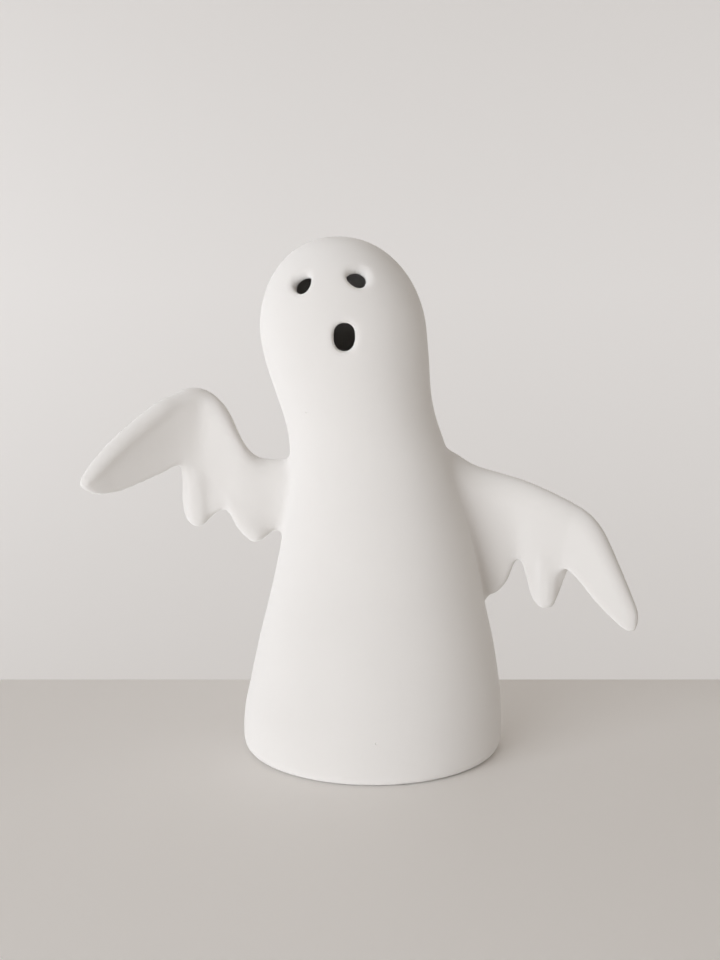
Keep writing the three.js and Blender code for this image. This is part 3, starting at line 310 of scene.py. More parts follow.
# Circuit board and what is soldered on it
LEADS = ("led_lead_1", "led_lead_2")
LEAD_HOLE_R = 0.5
PAD_INSET = 4.2
NEGATIVE_PAD = -18.4  # degrees
SWITCHED_PAD = 239
WIRE_R = 0.5
WIRE_STEPS = 6
WIRE_SIDES = 14
WIRE_OVER = 0.8  # the black wire leaves its tab this far above the cover
TRACK_HALF = 0.3
TRACK_THICK = 0.04
TRACK_END = 1.4  # a track ends this far from the resistor's middle
TRACK_TURN = 1  # how far past that end the last track turns
TRACK_STOP = -3.4
TRACK_TO_CHIP = 2  # how far from the chip's middle the track to it ends
CHIP_INSET = 0.9  # the chip's body lies this far inside the reach of its legs
CHIP_ABOVE = 0.1
CHIP_EDGE = 0.12
CHIP_LEGS = 4
CHIP_MARK = (0.9, 1.7, 0.35)  # a round mark's place from the chip's corner, and its radius
MARK_DEEP, MARK_PROUD = 0.02, 0.01
LEG_WIDTH, LEG_THICK = 0.4, 0.12
LEG_BENDS = ((-0.2, 0.45), (0.35, 0.45), (0.5, 0), (0.9, 0))  # reach from the chip's body, and height
RESISTOR_END = 0.64
RESISTOR_JOIN = 0.14  # how far its ends go over its body
RESISTOR_STEP = 0.05
RESISTOR_EDGE = 0.06
RESISTOR_END_EDGE = 0.08

# Solder, as the radius and the height of points along its outline; a lead's cone hangs down by its depths
LEAD_CONE = ((0.75, 0), (0.5, 0.25), (0.3, 0.8), (0, 0.85))
PAD_CONE = ((0, 0.15), (1, 0.15), (0.7, -0.15), (0.55, -0.5), (0, -0.5))
SOLDER_EDGE = 0.3
PIN_BLOB = ((0, -0.5), (0.5, -0.3), (0.62, 0), (0.55, 0.35), (0, 0.4))

# Lamp, with what stands inside its lens. Each block of a post is given by half its width, half its depth, the
# heights of its two ends and its rounding; the cup and the drop of gel by the radius and height of points.
LAMP_FLANGE = 1
LENS_STEP = 6  # degrees
LEAD_EDGE = 0.06
LAMP_POST = ((0.25, 0.25, 0.2, 3.2, 0.06), (0.6, 0.4, 3, 3.7, 0.1))
CUP_PLACE = (0.4, 3.6)  # from the first lead, and from the lamp's foot
LAMP_CUP = ((0, 0), (0.55, 0), (0.85, 0.6), (0.75, 0.6), (0.45, 0.2), (0, 0.2))
LAMP_DROP = ((0, 0.25), (0.5, 0.25), (0.68, 0.5), (0.5, 0.62), (0, 0.65))

# Slide switch
SWITCH_EDGE = 0.25
PIN_EDGE = 0.1
STEM_HALF = 0.9
KNOB_EDGE = 0.2
KNOB_SUNK = 1  # the knob's pad reaches this far into the plate
KNOB_RIDGES = 3
RIDGE_SHORT = 0.2
KNOB_STEP = 0.3  # the ridges stand this far out of the knob

# Table top up to its back edge, the opening in it that the foot covers, and the wall, in millimetres
TABLE = [(-1500, -900, 0), (1500, -900, 0), (1500, 56, 0), (-1500, 56, 0)]
TABLE_OPENING = 33
WALL = [(-2500, 900, -900), (2500, 900, -900), (2500, 900, 1600), (-2500, 900, 1600)]

# Lights: name, place, aim, size in metres, and the stage's setting that gives the power
LIGHTS = [
    ("key_light", (-650, -890, 200), (0, 0, 70), 0.9, "key"),
    ("fill_light", (760, -640, 60), (0, 0, 60), 1.2, "fill"),
    ("wall_light_left", (-700, 300, 0), (-400, 900, 0), 0.5, "wall_left"),
    ("wall_light_right", (700, 300, 0), (400, 900, 0), 0.5, "wall_right"),
    ("back_light", (0, 500, -300), (0, 0, 70), 0.3, "back"),
]
DAYLIGHT = (0.91, 0.945, 1)

# The photograph's view: a long lens a little above the table, which looks down by some degrees
CAMERA_PLACE = (-3.5, -581, 209.2)
CAMERA_DOWN = 13
LENS = 82.5
SENSOR = 36


def spot(x, y, z):
    """A point given in millimetres from the middle of the foot, on the table."""
    return Vector((BASE_X + x * MM, y * MM, z * MM))


def between(rows, steps):
    """The rows, with smooth rows worked out between each two of them."""
    ends = [rows[0], *rows, rows[-1]]
    result = []
    for a, b, c, d in zip(ends, ends[1:], ends[2:], ends[3:]):
        for i in range(steps):
            t = i / steps
            result.append([catmull_rom(*values, t) for values in zip(a, b, c, d)])
    result.append(list(rows[-1]))
    return result


def catmull_rom(a, b, c, d, t):
    return 0.5 * (2 * b + (c - a) * t + (2 * a - 5 * b + 4 * c - d) * t**2 + (3 * b - a - 3 * c + d) * t**3)


def rim(vertices):
    return list({edge for vertex in vertices for edge in vertex.link_edges})


def bridge(bm, rims):
    """Skins a row of rims and closes its two ends."""
    for low, high in zip(rims, rims[1:]):
        bmesh.ops.bridge_loops(bm, edges=low + high)
    bmesh.ops.edgeloop_fill(bm, edges=rims[0])
    bmesh.ops.edgeloop_fill(bm, edges=rims[-1])


def body_sections(inset, bottom):
    """Height, radius and lean of the body's sections from a height up, set in by a wall."""
    sections = [[z, radius - inset, lean] for z, radius, lean in between(BODY, BODY_STEPS) if z >= bottom]
    if sections[0][0] > bottom:
        sections.insert(0, [bottom, *sections[0][1:]])
    z, radius, lean = BODY[-1]
    for degrees in range(DOME_STEP, 90, DOME_STEP):
        a = math.radians(degrees)
        height = z + (DOME_RISE - inset) * math.sin(a)
        width = (radius - inset) * math.cos(a) ** DOME_FULLNESS
        sections.append([height, width, lean + DOME_LEAN * math.sin(a)])
    return sections


def add_body(bm, inset, bottom):
    rims = []
    for z, radius, lean in body_sections(inset, bottom):
        place = Matrix.Translation(spot(lean, 0, z))
        circle = bmesh.ops.create_circle(bm, segments=BODY_SIDES, radius=radius * MM, matrix=place)
        rims.append(rim(circle["verts"]))
    bridge(bm, rims)


def add_arm(bm, ribs):
    rows = between(ribs, RIB_STEPS)
    rims = []
    for before, row, after in zip([rows[0], *rows], rows, [*rows[1:], rows[-1]]):
        top, low = spot(*row[0:3]), spot(*row[3:6])
        span = spot(*after[0:3]) + spot(*after[3:6]) - spot(*before[0:3]) - spot(*before[3:6])
        across = (top - low).cross(span).normalized()
        rims.append(rim(add_rib(bm, top, low, across, row[6], row[7])))
    bridge(bm, rims)


def add_rib(bm, top, low, across, top_half, low_half):
    """A section with a round top edge, a round low edge and straight sides between them."""
    up = (top - low).normalized()
    top_centre, low_centre = top - up * top_half * MM, low + up * low_half * MM
    reach = max((top_centre - low_centre).length / MM, 0.01)
    tilt = math.asin(max(-1, min(1, (top_half - low_half) / reach)))
    vertices = bmesh.ops.create_circle(bm, segments=RIB_SIDES, radius=1)["verts"]
    half = RIB_SIDES // 2
    for i, vertex in enumerate(vertices):
        step = i % half / (half - 1)
        if i < half:
            a, centre, radius = -tilt + (math.pi + 2 * tilt) * step, top_centre, top_half
        else:
            a, centre, radius = math.pi + tilt + (math.pi - 2 * tilt) * step, low_centre, low_half
        vertex.co = centre + (across * math.cos(a) + up * math.sin(a)) * radius * MM
    return vertices


def add_ball(bm, centre, radius, subdivisions=3):
    place = Matrix.Translation(spot(*centre))
    bmesh.ops.create_icosphere(bm, subdivisions=subdivisions, radius=radius * MM, matrix=place)


def add_ridge(bm, stations):
    """A rounded ridge as a close row of balls, which the clay grid fuses."""
    for x, y, z, radius in between(stations, RIDGE_STEPS):
        add_ball(bm, (x, y, z), radius, 2)


def add_round(bm, centre, radius, low, high, segments=TURN_STEPS):
    """An upright round bar between two heights in millimetres."""
    place = Matrix.Translation(spot(*centre, (low + high) / 2))
    bmesh.ops.create_cone(
        bm,
        cap_ends=True,
        segments=segments,
        radius1=radius * MM,
        radius2=radius * MM,
        depth=(high - low) * MM,
        matrix=place,
    )


def egg(point, towards, share):
    """A point of a circle, moved so that the circle is narrower at one end, as an egg is."""
    end = Vector((math.cos(math.radians(towards)), math.sin(math.radians(towards))))
    across = Vector((-end.y, end.x))
    along = point.dot(end)
    return end * along + across * point.dot(across) * (1 - share * along)


def add_face_hole(bm, wall, centre, facing, width, height, roundness, narrowing, lip_reach, lip_depth):
    """A cutter through the wall of the head, narrower at one end, which flares out in a soft rounded lip."""
    out = Vector(facing).normalized()
    side = Vector((0, 0, 1)).cross(out).normalized()
    up = out.cross(side)
    turn = Matrix((side, up, out)).transposed().to_4x4()
    place = Matrix.Translation(spot(*centre)) @ turn
    stations = [(0, -wall - HOLE_INSIDE)]
    for degrees in range(0, LIP_END + 1, LIP_STEP):
        a = math.radians(degrees)
        stations.append((lip_reach * (1 - math.cos(a)), lip_depth * (math.sin(a) - 1)))
    stations.append((lip_reach * 2, lip_depth))
    rims = []
    for flare, depth in stations:
        circle = bmesh.ops.create_circle(bm, segments=HOLE_SIDES, radius=1)["verts"]
        for vertex in circle:
            x, y = egg(vertex.co.xy, *narrowing)
            x, y = (math.copysign(abs(value) ** roundness, value) for value in (x, y))
            vertex.co = place @ (Vector((x * (width / 2 + flare), y * (height / 2 + flare), depth)) * MM)
        rims.append(rim(circle))
    bridge(bm, rims)


def new_piece(name, bm):
    """A new object from a bmesh whose faces are turned outwards."""
    bmesh.ops.recalc_face_normals(bm, faces=bm.faces)
    mesh = bpy.data.meshes.new(name)
    bm.to_mesh(mesh)
    bm.free()
    piece = bpy.data.objects.new(name, mesh)
    bpy.context.scene.collection.objects.link(piece)
    return piece


def apply_modifiers(piece):
    """Puts the result of a piece's modifiers into its mesh."""
    evaluated = piece.evaluated_get(bpy.context.evaluated_depsgraph_get())
    mesh = bpy.data.meshes.new_from_object(evaluated)
    old = piece.data
    piece.modifiers.clear()
    piece.data = mesh
    bpy.data.meshes.remove(old)


def fuse(piece, grid):
    """Fuses overlapping closed forms into one skin on a fine grid."""
    remesh = piece.modifiers.new("fuse", "REMESH")
    remesh.mode = "VOXEL"
    remesh.voxel_size = grid
    apply_modifiers(piece)


def combine(piece, operation, *others):
    """Joins other pieces to a piece, or cuts them out of it, and deletes them."""
    for other in others:
        boolean = piece.modifiers.new("combine", "BOOLEAN")
        boolean.operation = operation
        boolean.solver = "EXACT"
        boolean.object = other
    apply_modifiers(piece)
    for other in others:
        mesh = other.data
        bpy.data.objects.remove(other)
        bpy.data.meshes.remove(mesh)


def nearness(point, places):
    """How strongly a point is smoothed because of the places near it, from 0 to 1."""
    x, z = point.x / MM - BASE_X / MM, point.z / MM
    shares = []
    for place_x, place_z, upright, reach, strength in places:
        away = math.hypot(x - place_x, (z - place_z) * upright)
        shares.append(strength * (1 - away / reach))
    return max(0, min(1, max(shares)))


def soften(piece, repeat, places=None):
    """Smooths a piece all over, or only round some places."""
    smooth = piece.modifiers.new("soften", "SMOOTH")
    smooth.factor = 0.5
    smooth.iterations = repeat
    if places:
        group = piece.vertex_groups.new(name="soften")
        for vertex in piece.data.vertices:
            amount = nearness(vertex.co, places)
            if amount > 0:
                group.add([vertex.index], amount, "REPLACE")
        smooth.vertex_group = group.name
    apply_modifiers(piece)
    piece.vertex_groups.clear()


def thin_out(piece, share):
    """Takes triangles away where the surface is nearly flat."""
    decimate = piece.modifiers.new("thin_out", "DECIMATE")
    decimate.ratio = share
    apply_modifiers(piece)


def shape(name, maker, *values, **named):
    """A new piece of one form."""
    bm = bmesh.new()
    maker(bm, *values, **named)
    return new_piece(name, bm)


def corners(node):
    """A node's lowest and highest corners in millimetres, from the middle of the foot on the table."""
    low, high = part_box(node)
    base = Vector((BASE_X, 0, 0))
    return (low - base) / MM, (high - base) / MM


def middle(node):
    low, high = corners(node)
    return (low + high) / 2


def eased(points, radius, steps=4):
    """An outline with its corners rounded, all but its two ends."""
    result = [Vector(points[0])]
    for before, corner, after in zip(points, points[1:], points[2:]):
        before, corner, after = Vector(before), Vector(corner), Vector(after)
        start = corner + (before - corner) * min(CORNER_SHARE, radius / (before - corner).length)
        end = corner + (after - corner) * min(CORNER_SHARE, radius / (after - corner).length)
        for step in range(steps + 1):
            t = step / steps
            result.append(start * (1 - t) ** 2 + corner * 2 * t * (1 - t) + end * t**2)
    return [*result, Vector(points[-1])]


def add_turned(bm, outline, x=0, y=0, steps=TURN_STEPS):
    """A form turned round an upright axis, from the radius and height of points along its outline."""
    vertices = [bm.verts.new(spot(x + radius, y, height)) for radius, height in outline]
    edges = [bm.edges.new(pair) for pair in zip(vertices, vertices[1:])]
    bmesh.ops.spin(
        bm,
        geom=[*vertices, *edges],
        cent=spot(x, y, 0),
        axis=(0, 0, 1),
        angle=math.tau,
        steps=steps,
        use_merge=True,
    )
    bmesh.ops.remove_doubles(bm, verts=bm.verts, dist=1e-7)


def add_block(bm, low, high, rounding=0, turn=0, about=(0, 0)):
    """A block between two corners with rounded edges, turned in degrees about an upright axis."""
    low, high = Vector(low), Vector(high)
    hinge = Matrix.Translation(spot(*about, 0))
    turned = hinge @ Matrix.Rotation(math.radians(turn), 4, "Z") @ hinge.inverted()
    size = Matrix.Diagonal((*((high - low) * MM), 1))
    place = turned @ Matrix.Translation(spot(*((low + high) / 2))) @ size
    made = bmesh.ops.create_cube(bm, size=1, matrix=place)
    if rounding:
        bmesh.ops.bevel(
            bm,
            geom=rim(made["verts"]),
            offset=rounding * MM,
            segments=BLOCK_STEPS,
            profile=0.5,
            affect="EDGES",
            material=-1,
        )


def add_arc(bm, inner, outer, low, high, y, start, angle):
    """A piece of a ring round the battery well's axis, from a direction in degrees on through an angle."""
    turned = Matrix.Rotation(math.radians(start), 3, "Z")
    corners_flat = [(inner, low), (outer, low), (outer, high), (inner, high)]
    places = [turned @ Vector((radius, 0, height)) for radius, height in corners_flat]
    face = bm.faces.new([bm.verts.new(spot(place.x, place.y + y, place.z)) for place in places])
    bmesh.ops.spin(
        bm,
        geom=[face, *face.edges, *face.verts],
        cent=spot(0, y, 0),
        axis=(0, 0, 1),
        angle=math.radians(angle),
        steps=round(angle / ARC_STEP),
    )


def add_tube(bm, points, radius):
    """A round wire along a smooth line through points."""
    path = [spot(*row) for row in between(points, WIRE_STEPS)]
    rims = []
    for before, point, after in zip([path[0], *path], path, [*path[1:], path[-1]]):
        turn = (after - before).to_track_quat("Z", "Y").to_matrix().to_4x4()
        place = Matrix.Translation(point) @ turn
        circle = bmesh.ops.create_circle(bm, segments=WIRE_SIDES, radius=radius * MM, matrix=place)
        rims.append(rim(circle["verts"]))
    bridge(bm, rims)


def add_strip(bm, outline, width, turn, y, thickness=METAL):
    """A bent metal strip from the reach and height of points along it, turned in degrees."""
    turned = Matrix.Rotation(math.radians(turn), 3, "Z")
    rows = []
    for reach, height in outline:
        pair = [turned @ Vector((reach, side * width / 2, height)) for side in (-1, 1)]
        rows.append([bm.verts.new(spot(place.x, place.y + y, place.z)) for place in pair])
    faces = [bm.faces.new((a, b, d, c)) for (a, b), (c, d) in zip(rows, rows[1:])]
    bmesh.ops.recalc_face_normals(bm, faces=faces)
    bmesh.ops.solidify(bm, geom=faces, thickness=thickness * MM)


def round_edges(piece, width, steps=2):
    """Rounds a moulded piece's sharp edges."""
    bevel = piece.modifiers.new("edges", "BEVEL")
    bevel.width = width * MM
    bevel.segments = steps
    bevel.limit_method = "ANGLE"
    bevel.angle_limit = math.radians(SHARP)
    bevel.use_clamp_overlap = True
    apply_modifiers(piece)


def shade(piece):
    """Shades a piece smooth, with its sharp edges kept and its flat faces even."""
    bm = bmesh.new()
    bm.from_mesh(piece.data)
    for face in bm.faces:
        face.smooth = True
    for edge in bm.edges:
        edge.smooth = edge.is_manifold and edge.calc_face_angle() < math.radians(SHARP)
    bm.to_mesh(piece.data)
    bm.free()
    even = piece.modifiers.new("even_faces", "WEIGHTED_NORMAL")
    even.keep_sharp = True
    apply_modifiers(piece)


def dress(piece, material, body, slot, *nodes):
    """Finishes a piece: its shading, material, body and the nodes that it stands for. The slot is not used."""
    shade(piece)
    piece.data.materials.clear()
    piece.data.materials.append(material)
    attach(piece, body)
    if nodes:
        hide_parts(*nodes)
    return piece


def around(radius, degrees):
    return radius * math.cos(math.radians(degrees)), radius * math.sin(math.radians(degrees))


class CeramicSizes(PropertyGroup):
    wall: FloatProperty(name="Wall", description="Thickness of the cast wall in mm", default=3.5)
    grid: FloatProperty(
        name="Clay grid", description="Grid that fuses body and arms", default=0.0007, unit="LENGTH"
    )
    socket: FloatProperty(name="Socket", description="Radius of the socket under the foot in mm", default=23)
    foot_ring: FloatProperty(name="Foot ring", description="Width of its standing ring in mm", default=4.2)
    recess: FloatProperty(name="Recess", description="Height of the underside in mm", default=4.2)
    floor: FloatProperty(name="Floor", description="Ceramic thickness round the socket in mm", default=4)
    blend: IntProperty(name="Shoulder blend", description="Smoothing passes at the shoulders", default=40)
    bend: IntProperty(name="Bend blend", description="Smoothing passes at the left arm's bend", default=30)
    color: FloatVectorProperty(
        name="Bisque",
        description="Colour of the unglazed ceramic",
        subtype="COLOR",
        default=(0.84, 0.822, 0.80),
    )


class GHOST_OT_ceramic(Operator):
    """Make the hollow ceramic figure with its arms and face holes"""

    bl_idname = "ghost.ceramic"
    bl_label = "Ceramic figure"

    def execute(self, context):
        sizes = context.scene.ghost_ceramic
        bm = bmesh.new()
        add_body(bm, 0, 0)
        for arm in (LEFT_ARM, RIGHT_ARM):
            add_arm(bm, arm)
        for stations in RIDGES:
            add_ridge(bm, stations)
        figure = new_piece("ceramic_figure", bm)
        fuse(figure, sizes.grid)
        soften(figure, sizes.blend, SHOULDERS)
        soften(figure, sizes.bend, ARM_BEND)
        soften(figure, SKIN_PASSES)
        floor_top = sizes.recess + sizes.floor
        foot_r = BODY[0][1] - sizes.foot_ring
        cutters = [
            shape("cavity", add_body, sizes.wall, floor_top),
            shape("foot_recess", add_round, (0, 0), foot_r, -THROUGH, sizes.recess),
            shape("socket", add_round, (0, 0), sizes.socket, sizes.recess - THROUGH, floor_top + THROUGH),
        ]
        for hole in FACE_HOLES:
            cutters.append(shape("face_hole", add_face_hole, sizes.wall, **hole))
        combine(figure, "DIFFERENCE", *cutters)
        fuse(figure, sizes.grid)
        soften(figure, CUT_PASSES)
        thin_out(figure, KEPT_TRIANGLES)
        combine(figure, "DIFFERENCE", *[shape("pinhole", add_ball, *pinhole) for pinhole in PINHOLES])
        dress(figure, matte_bisque(context), "figure", "ceramic", "ceramic_body")
        return {"FINISHED"}


class UnitSettings(PropertyGroup):
    housing_wall: FloatProperty(name="Housing wall", description="Wall of the housing in mm", default=1.4)
    bead: FloatProperty(name="Bead", description="Reach of the ridge over the grip ring in mm", default=0.7)
    lamp_collar: FloatProperty(name="Lamp collar", description="Height of the collar in mm", default=1.4)
    lamp_rim: FloatProperty(name="Lamp rim", description="Reach of the lamp's rim in mm", default=0.4)
    grip_ribs: IntProperty(name="Grip ribs", description="Ribs round the grip ring", default=3)
    plastic: FloatVectorProperty(
        name="Plastic", description="Colour of the moulded parts", subtype="COLOR", default=(0.78, 0.77, 0.74)
    )
    silicone: FloatVectorProperty(
        name="Silicone", description="Colour of the grip ring", subtype="COLOR", default=(0.52, 0.53, 0.52)
    )
    red: FloatVectorProperty(
        name="Red wires",
        description="Colour of the red insulation",
        subtype="COLOR",
        default=(0.4, 0.02, 0.015),
    )
    black: FloatVectorProperty(
        name="Black parts",
        description="Colour of the black insulation and plastic",
        subtype="COLOR",
        default=(0.014, 0.014, 0.015),
    )


def cap_radii():
    """The radii of the battery cap's lid, of its lugs and of its hub."""
    low, high = corners("battery_cap")
    lid_r = (high.y - low.y) / 2
    lug_r = lid_r - CAP_COVERS
    return lid_r, lug_r, lug_r - LUG_REACH


def stem_window(low, high):
    """A cutter between two heights that clears the knob's stem all along its travel."""
    stem = middle("switch_knob")
    near = (stem.x - STEM_HALF - GAP, stem.y - STEM_HALF - GAP, low)
    far = (stem.x + KNOB_TRAVEL + STEM_HALF + GAP, stem.y + STEM_HALF + GAP, high)
    return shape("stem_window", add_block, near, far)


def add_rail(bm, side, start, y_span, z_span):
    """An upright rail, which starts at a distance to the left (-1) or to the right (1) of the middle."""
    near, far = sorted((side * start, side * (start + RAIL_WALL)))
    add_block(bm, (near, y_span[0], z_span[0]), (far, y_span[1], z_span[1]), EDGE)


class GHOST_OT_base_cover(Operator):
    """Make the round plate under the light unit, with the battery well"""

    bl_idname = "ghost.base_cover"
    bl_label = "Base cover"

    def execute(self, context):
        low, high = corners("base_cover")
        top = low.z + COVER_THICK
        y = middle("battery_cap").y
        cap_bottom, cap_top = (corner.z for corner in corners("battery_cap"))
        lid_r, lug_r, hub_r = cap_radii()
        well_r = corners("coin_cell_1")[1].y - y + GAP
        groove_top = cap_top + GAP
        outline = [(0, low.z), (high.y, low.z), (high.y, top), (0, top)]
        plate = shape("base_plate", add_turned, eased(outline, COVER_EDGE))
        collar_r = lug_r + GAP + WELL_WALL
        collar = shape("well_collar", add_round, (0, y), collar_r, top - JOIN, groove_top + WELL_WALL)
        well = shape("well_wall", add_round, (0, y), well_r + WELL_WALL, top, high.z)
        combine(plate, "UNION", collar, well, self.rails(top))
        seat_top = cap_bottom + CAP_THICK + SEAT
        tools = [
            shape("cap_seat", add_round, (0, y), lid_r + GAP, low.z - THROUGH, seat_top),
            shape("hub_hole", add_round, (0, y), hub_r + GAP, low.z, groove_top),
            shape("lug_groove", add_round, (0, y), lug_r + GAP, top, groove_top),
            shape("cell_room", add_round, (0, y), well_r, groove_top - JOIN, high.z - WELL_WALL),
        ]
        half = LUG_HALF + STOP_CLEAR
        for lug in LUGS:
            ring = (hub_r, lug_r + GAP, low.z, top + JOIN, y, lug + CAP_TURN - half, 2 * half)
            tools.append(shape("lug_entry", add_arc, *ring))
        for screw in COVER_SCREWS:
            tools += self.screw_seat(screw, low.z, top)
        tools.append(self.knob_window(low.z))
        tools.append(stem_window(low.z, top + THROUGH))
        for side in (-1, 1):
            notch_x = side * (high.y + NAIL_NOTCH_R - NAIL_NOTCH_DEPTH)
            notch = ((notch_x, 0), NAIL_NOTCH_R, low.z - THROUGH, top + THROUGH)
            tools.append(shape("nail_notch", add_round, *notch))
        combine(plate, "DIFFERENCE", *tools)
        round_edges(plate, EDGE)
        dress(plate, moulded_plastic(context), "light_unit", "white_plastic", "base_cover")
        return {"FINISHED"}

    def rails(self, top):
        """Rails beside the side leaf, and ribs at the ends of the switch."""
        leaf = corners("positive_contact")[1]
        switch_low, switch_high = corners("switch_frame")
        rail_y = leaf.y - METAL
        rail_spans = (rail_y - RAIL_DEPTH, rail_y + RAIL_WALL), (top - RAIL_SINK, leaf.z - LEAF_PAST_RAIL)
        rib_y = (switch_low.y + RAIL_SINK, switch_high.y - RAIL_SINK)
        rib_spans = rib_y, (top - RAIL_SINK, top + SWITCH_RIB)
        rails = bmesh.new()
        for side in (-1, 1):
            add_rail(rails, side, leaf.x + GAP, *rail_spans)
            add_rail(rails, side, switch_high.x + SEAT, *rib_spans)
        return new_piece("well_rails", rails)

    def screw_seat(self, screw, bottom, top):
        """Cutters for a screw's hole and for its sunk head."""
        low, high = corners(screw)
        place, head_r = middle(screw).xy, (high.x - low.x) / 2 + SEAT
        hole = (place, SCREW_R + SEAT, bottom - THROUGH, top + THROUGH, BORE_STEPS)
        head = (place, head_r, bottom - THROUGH, low.z + SCREW_HEAD + SEAT, HEAD_STEPS)
        return [shape("screw_hole", add_round, *hole), shape("head_hole", add_round, *head)]

    def knob_window(self, bottom):
        """A cutter for the sunk window in which the knob slides."""
        low, high = corners("switch_knob")
        near = (low.x - GAP, low.y - GAP, bottom - THROUGH)
        far = (high.x + KNOB_TRAVEL + GAP, high.y + GAP, bottom + KNOB_SUNK + GAP)
        return shape("knob_window", add_block, near, far)


class GHOST_OT_battery_cap(Operator):
    """Make the twist cap with its coin slot and three lugs"""

    bl_idname = "ghost.battery_cap"
    bl_label = "Battery cap"

    def execute(self, context):
        low, high = corners("battery_cap")
        y, top = middle("battery_cap").y, low.z + CAP_THICK
        lid_r, lug_r, hub_r = cap_radii()
        outline = [(0, low.z), (lid_r, low.z), (lid_r, top), (0, top)]
        lid = shape("cap_lid", add_turned, eased(outline, CAP_EDGE), 0, y)
        added = [shape("cap_hub", add_round, (0, y), hub_r, top - JOIN, high.z)]
        for lug in LUGS:
            ring = (hub_r - JOIN, lug_r, high.z - LUG_HEIGHT, high.z, y, lug - LUG_HALF, 2 * LUG_HALF)
            added.append(shape("cap_lug", add_arc, *ring))
        combine(lid, "UNION", *added)
        length, width, depth = COIN_SLOT
        slot_low = (-length / 2, y - width / 2, low.z - THROUGH)
        slot_high = (length / 2, y + width / 2, low.z + depth)
        slot = shape("coin_slot", add_block, slot_low, slot_high, SLOT_EDGE)
        hollow = shape("hub_hollow", add_round, (0, y), hub_r - HUB_WALL, top, high.z + THROUGH)
        combine(lid, "DIFFERENCE", slot, hollow)
        round_edges(lid, LUG_EDGE)
        dress(lid, moulded_plastic(context), "battery_cap", "white_plastic", "battery_cap")
        return {"FINISHED"}


class GHOST_OT_housing(Operator):
    """Make the cup that closes the light unit from above, with its screw bosses"""

    bl_idname = "ghost.housing"
    bl_label = "Unit housing"

    def execute(self, context):
        sizes = context.scene.ghost_unit
        low, high = corners("module_housing")
        bead_low = corners("grip_ring")[1].z + GAP
        radius = high.y - sizes.bead
        rim_middle = radius - sizes.housing_wall / 2
        inner = radius - sizes.housing_wall
        roof = high.z - sizes.lamp_collar
        ceiling = roof - sizes.housing_wall
        hole = corners("led_lamp")[1].y - sizes.lamp_rim + GAP
        outline = [
            (rim_middle, low.z),
            (radius, low.z),
            (radius, bead_low),
            (radius + sizes.bead, bead_low),
            (radius, bead_low + BEAD_HEIGHT),
            (radius, roof - ROOF_BEVEL),
            (radius - ROOF_BEVEL, roof),
            (hole + COLLAR_WALL, roof),
            (hole + COLLAR_WALL, high.z),
            (hole, high.z),
            (hole, ceiling),
            (inner, ceiling),
            (inner, low.z),
            (rim_middle, low.z),
        ]
        cup = shape("unit_cup", add_turned, eased(outline, HOUSING_EDGE))
        bosses = []
        holes = []
        boss_top = ceiling + JOIN
        for name in COVER_SCREWS:
            place = middle(name)
            bosses.append(shape("boss", add_round, place.xy, BOSS_R, low.z, boss_top, BOSS_STEPS))
            drill = (place.xy, SCREW_R + SEAT, low.z - THROUGH, corners(name)[1].z + THROUGH, BORE_STEPS)
            holes.append(shape("boss_hole", add_round, *drill))
            direction = math.degrees(math.atan2(place.y, place.x))
            web_low = (place.xy.length + WEB_START, -BOSS_WEB / 2, low.z)
            web_high = (radius - JOIN, BOSS_WEB / 2, boss_top)
            bosses.append(shape("boss_web", add_block, web_low, web_high, 0, direction))
        board_top = corners("circuit_board")[1].z
        for name in BOARD_SCREWS:
            place = middle(name)
            boss = (place.xy, BOSS_R, board_top + SEAT, boss_top, BOSS_STEPS)
            bosses.append(shape("boss", add_round, *boss))
            drill = (place.xy, SCREW_R + SEAT, board_top - THROUGH, ceiling + GAP, BORE_STEPS)
            holes.append(shape("boss_hole", add_round, *drill))
        combine(cup, "UNION", *bosses)
        combine(cup, "DIFFERENCE", *holes)
        dress(cup, moulded_plastic(context), "light_unit", "white_plastic", "module_housing")
        return {"FINISHED"}


class GHOST_OT_grip_ring(Operator):
    """Make the soft ribbed ring that holds the unit in the socket"""

    bl_idname = "ghost.grip_ring"
    bl_label = "Grip ring"

    def execute(self, context):
        sizes = context.scene.ghost_unit
        low, high = corners("grip_ring")
        inner, root = corners("module_housing")[1].y - sizes.bead + SEAT, high.y - RIB_DEPTH
        pitch = (high.z - low.z) / sizes.grip_ribs
        seam = (inner, low.z + SEAM)
        outline = [seam, (inner, low.z)]
        for rib in range(sizes.grip_ribs):
            z = low.z + rib * pitch
            outline += [(root, z), (high.y, z + RIB_SLOPE * pitch), (high.y, z + (1 - RIB_SLOPE) * pitch)]
        outline += [(root, high.z), (inner, high.z), seam]
        ring = shape("grip", add_turned, eased(outline, RIB_EDGE))
        dress(ring, soft_silicone(context), "light_unit", "silicone", "grip_ring")
        return {"FINISHED"}


def screw_outline(head_r, bottom, top):
    """Radius and height along a screw, from its head up its thread to its point."""
    seat = bottom + SCREW_HEAD
    outline = [(0, bottom), (head_r * CROWN_SHARE, bottom + CROWN_DEPTH)]
    outline += [(head_r, bottom + HEAD_EDGE), (head_r, seat), (SCREW_R * NECK_SHARE, seat)]
    root = SCREW_R * THREAD_ROOT
    z = seat + THREAD_START
    while z < top - TIP_HEIGHT:
        outline += [(root, z), (SCREW_R, z + THREAD_FLANK), (root, z + 2 * THREAD_FLANK)]
        z += THREAD_PITCH
    return [*outline, (SCREW_R * POINT_SHARE, top - POINT_HEIGHT), (0, top)]


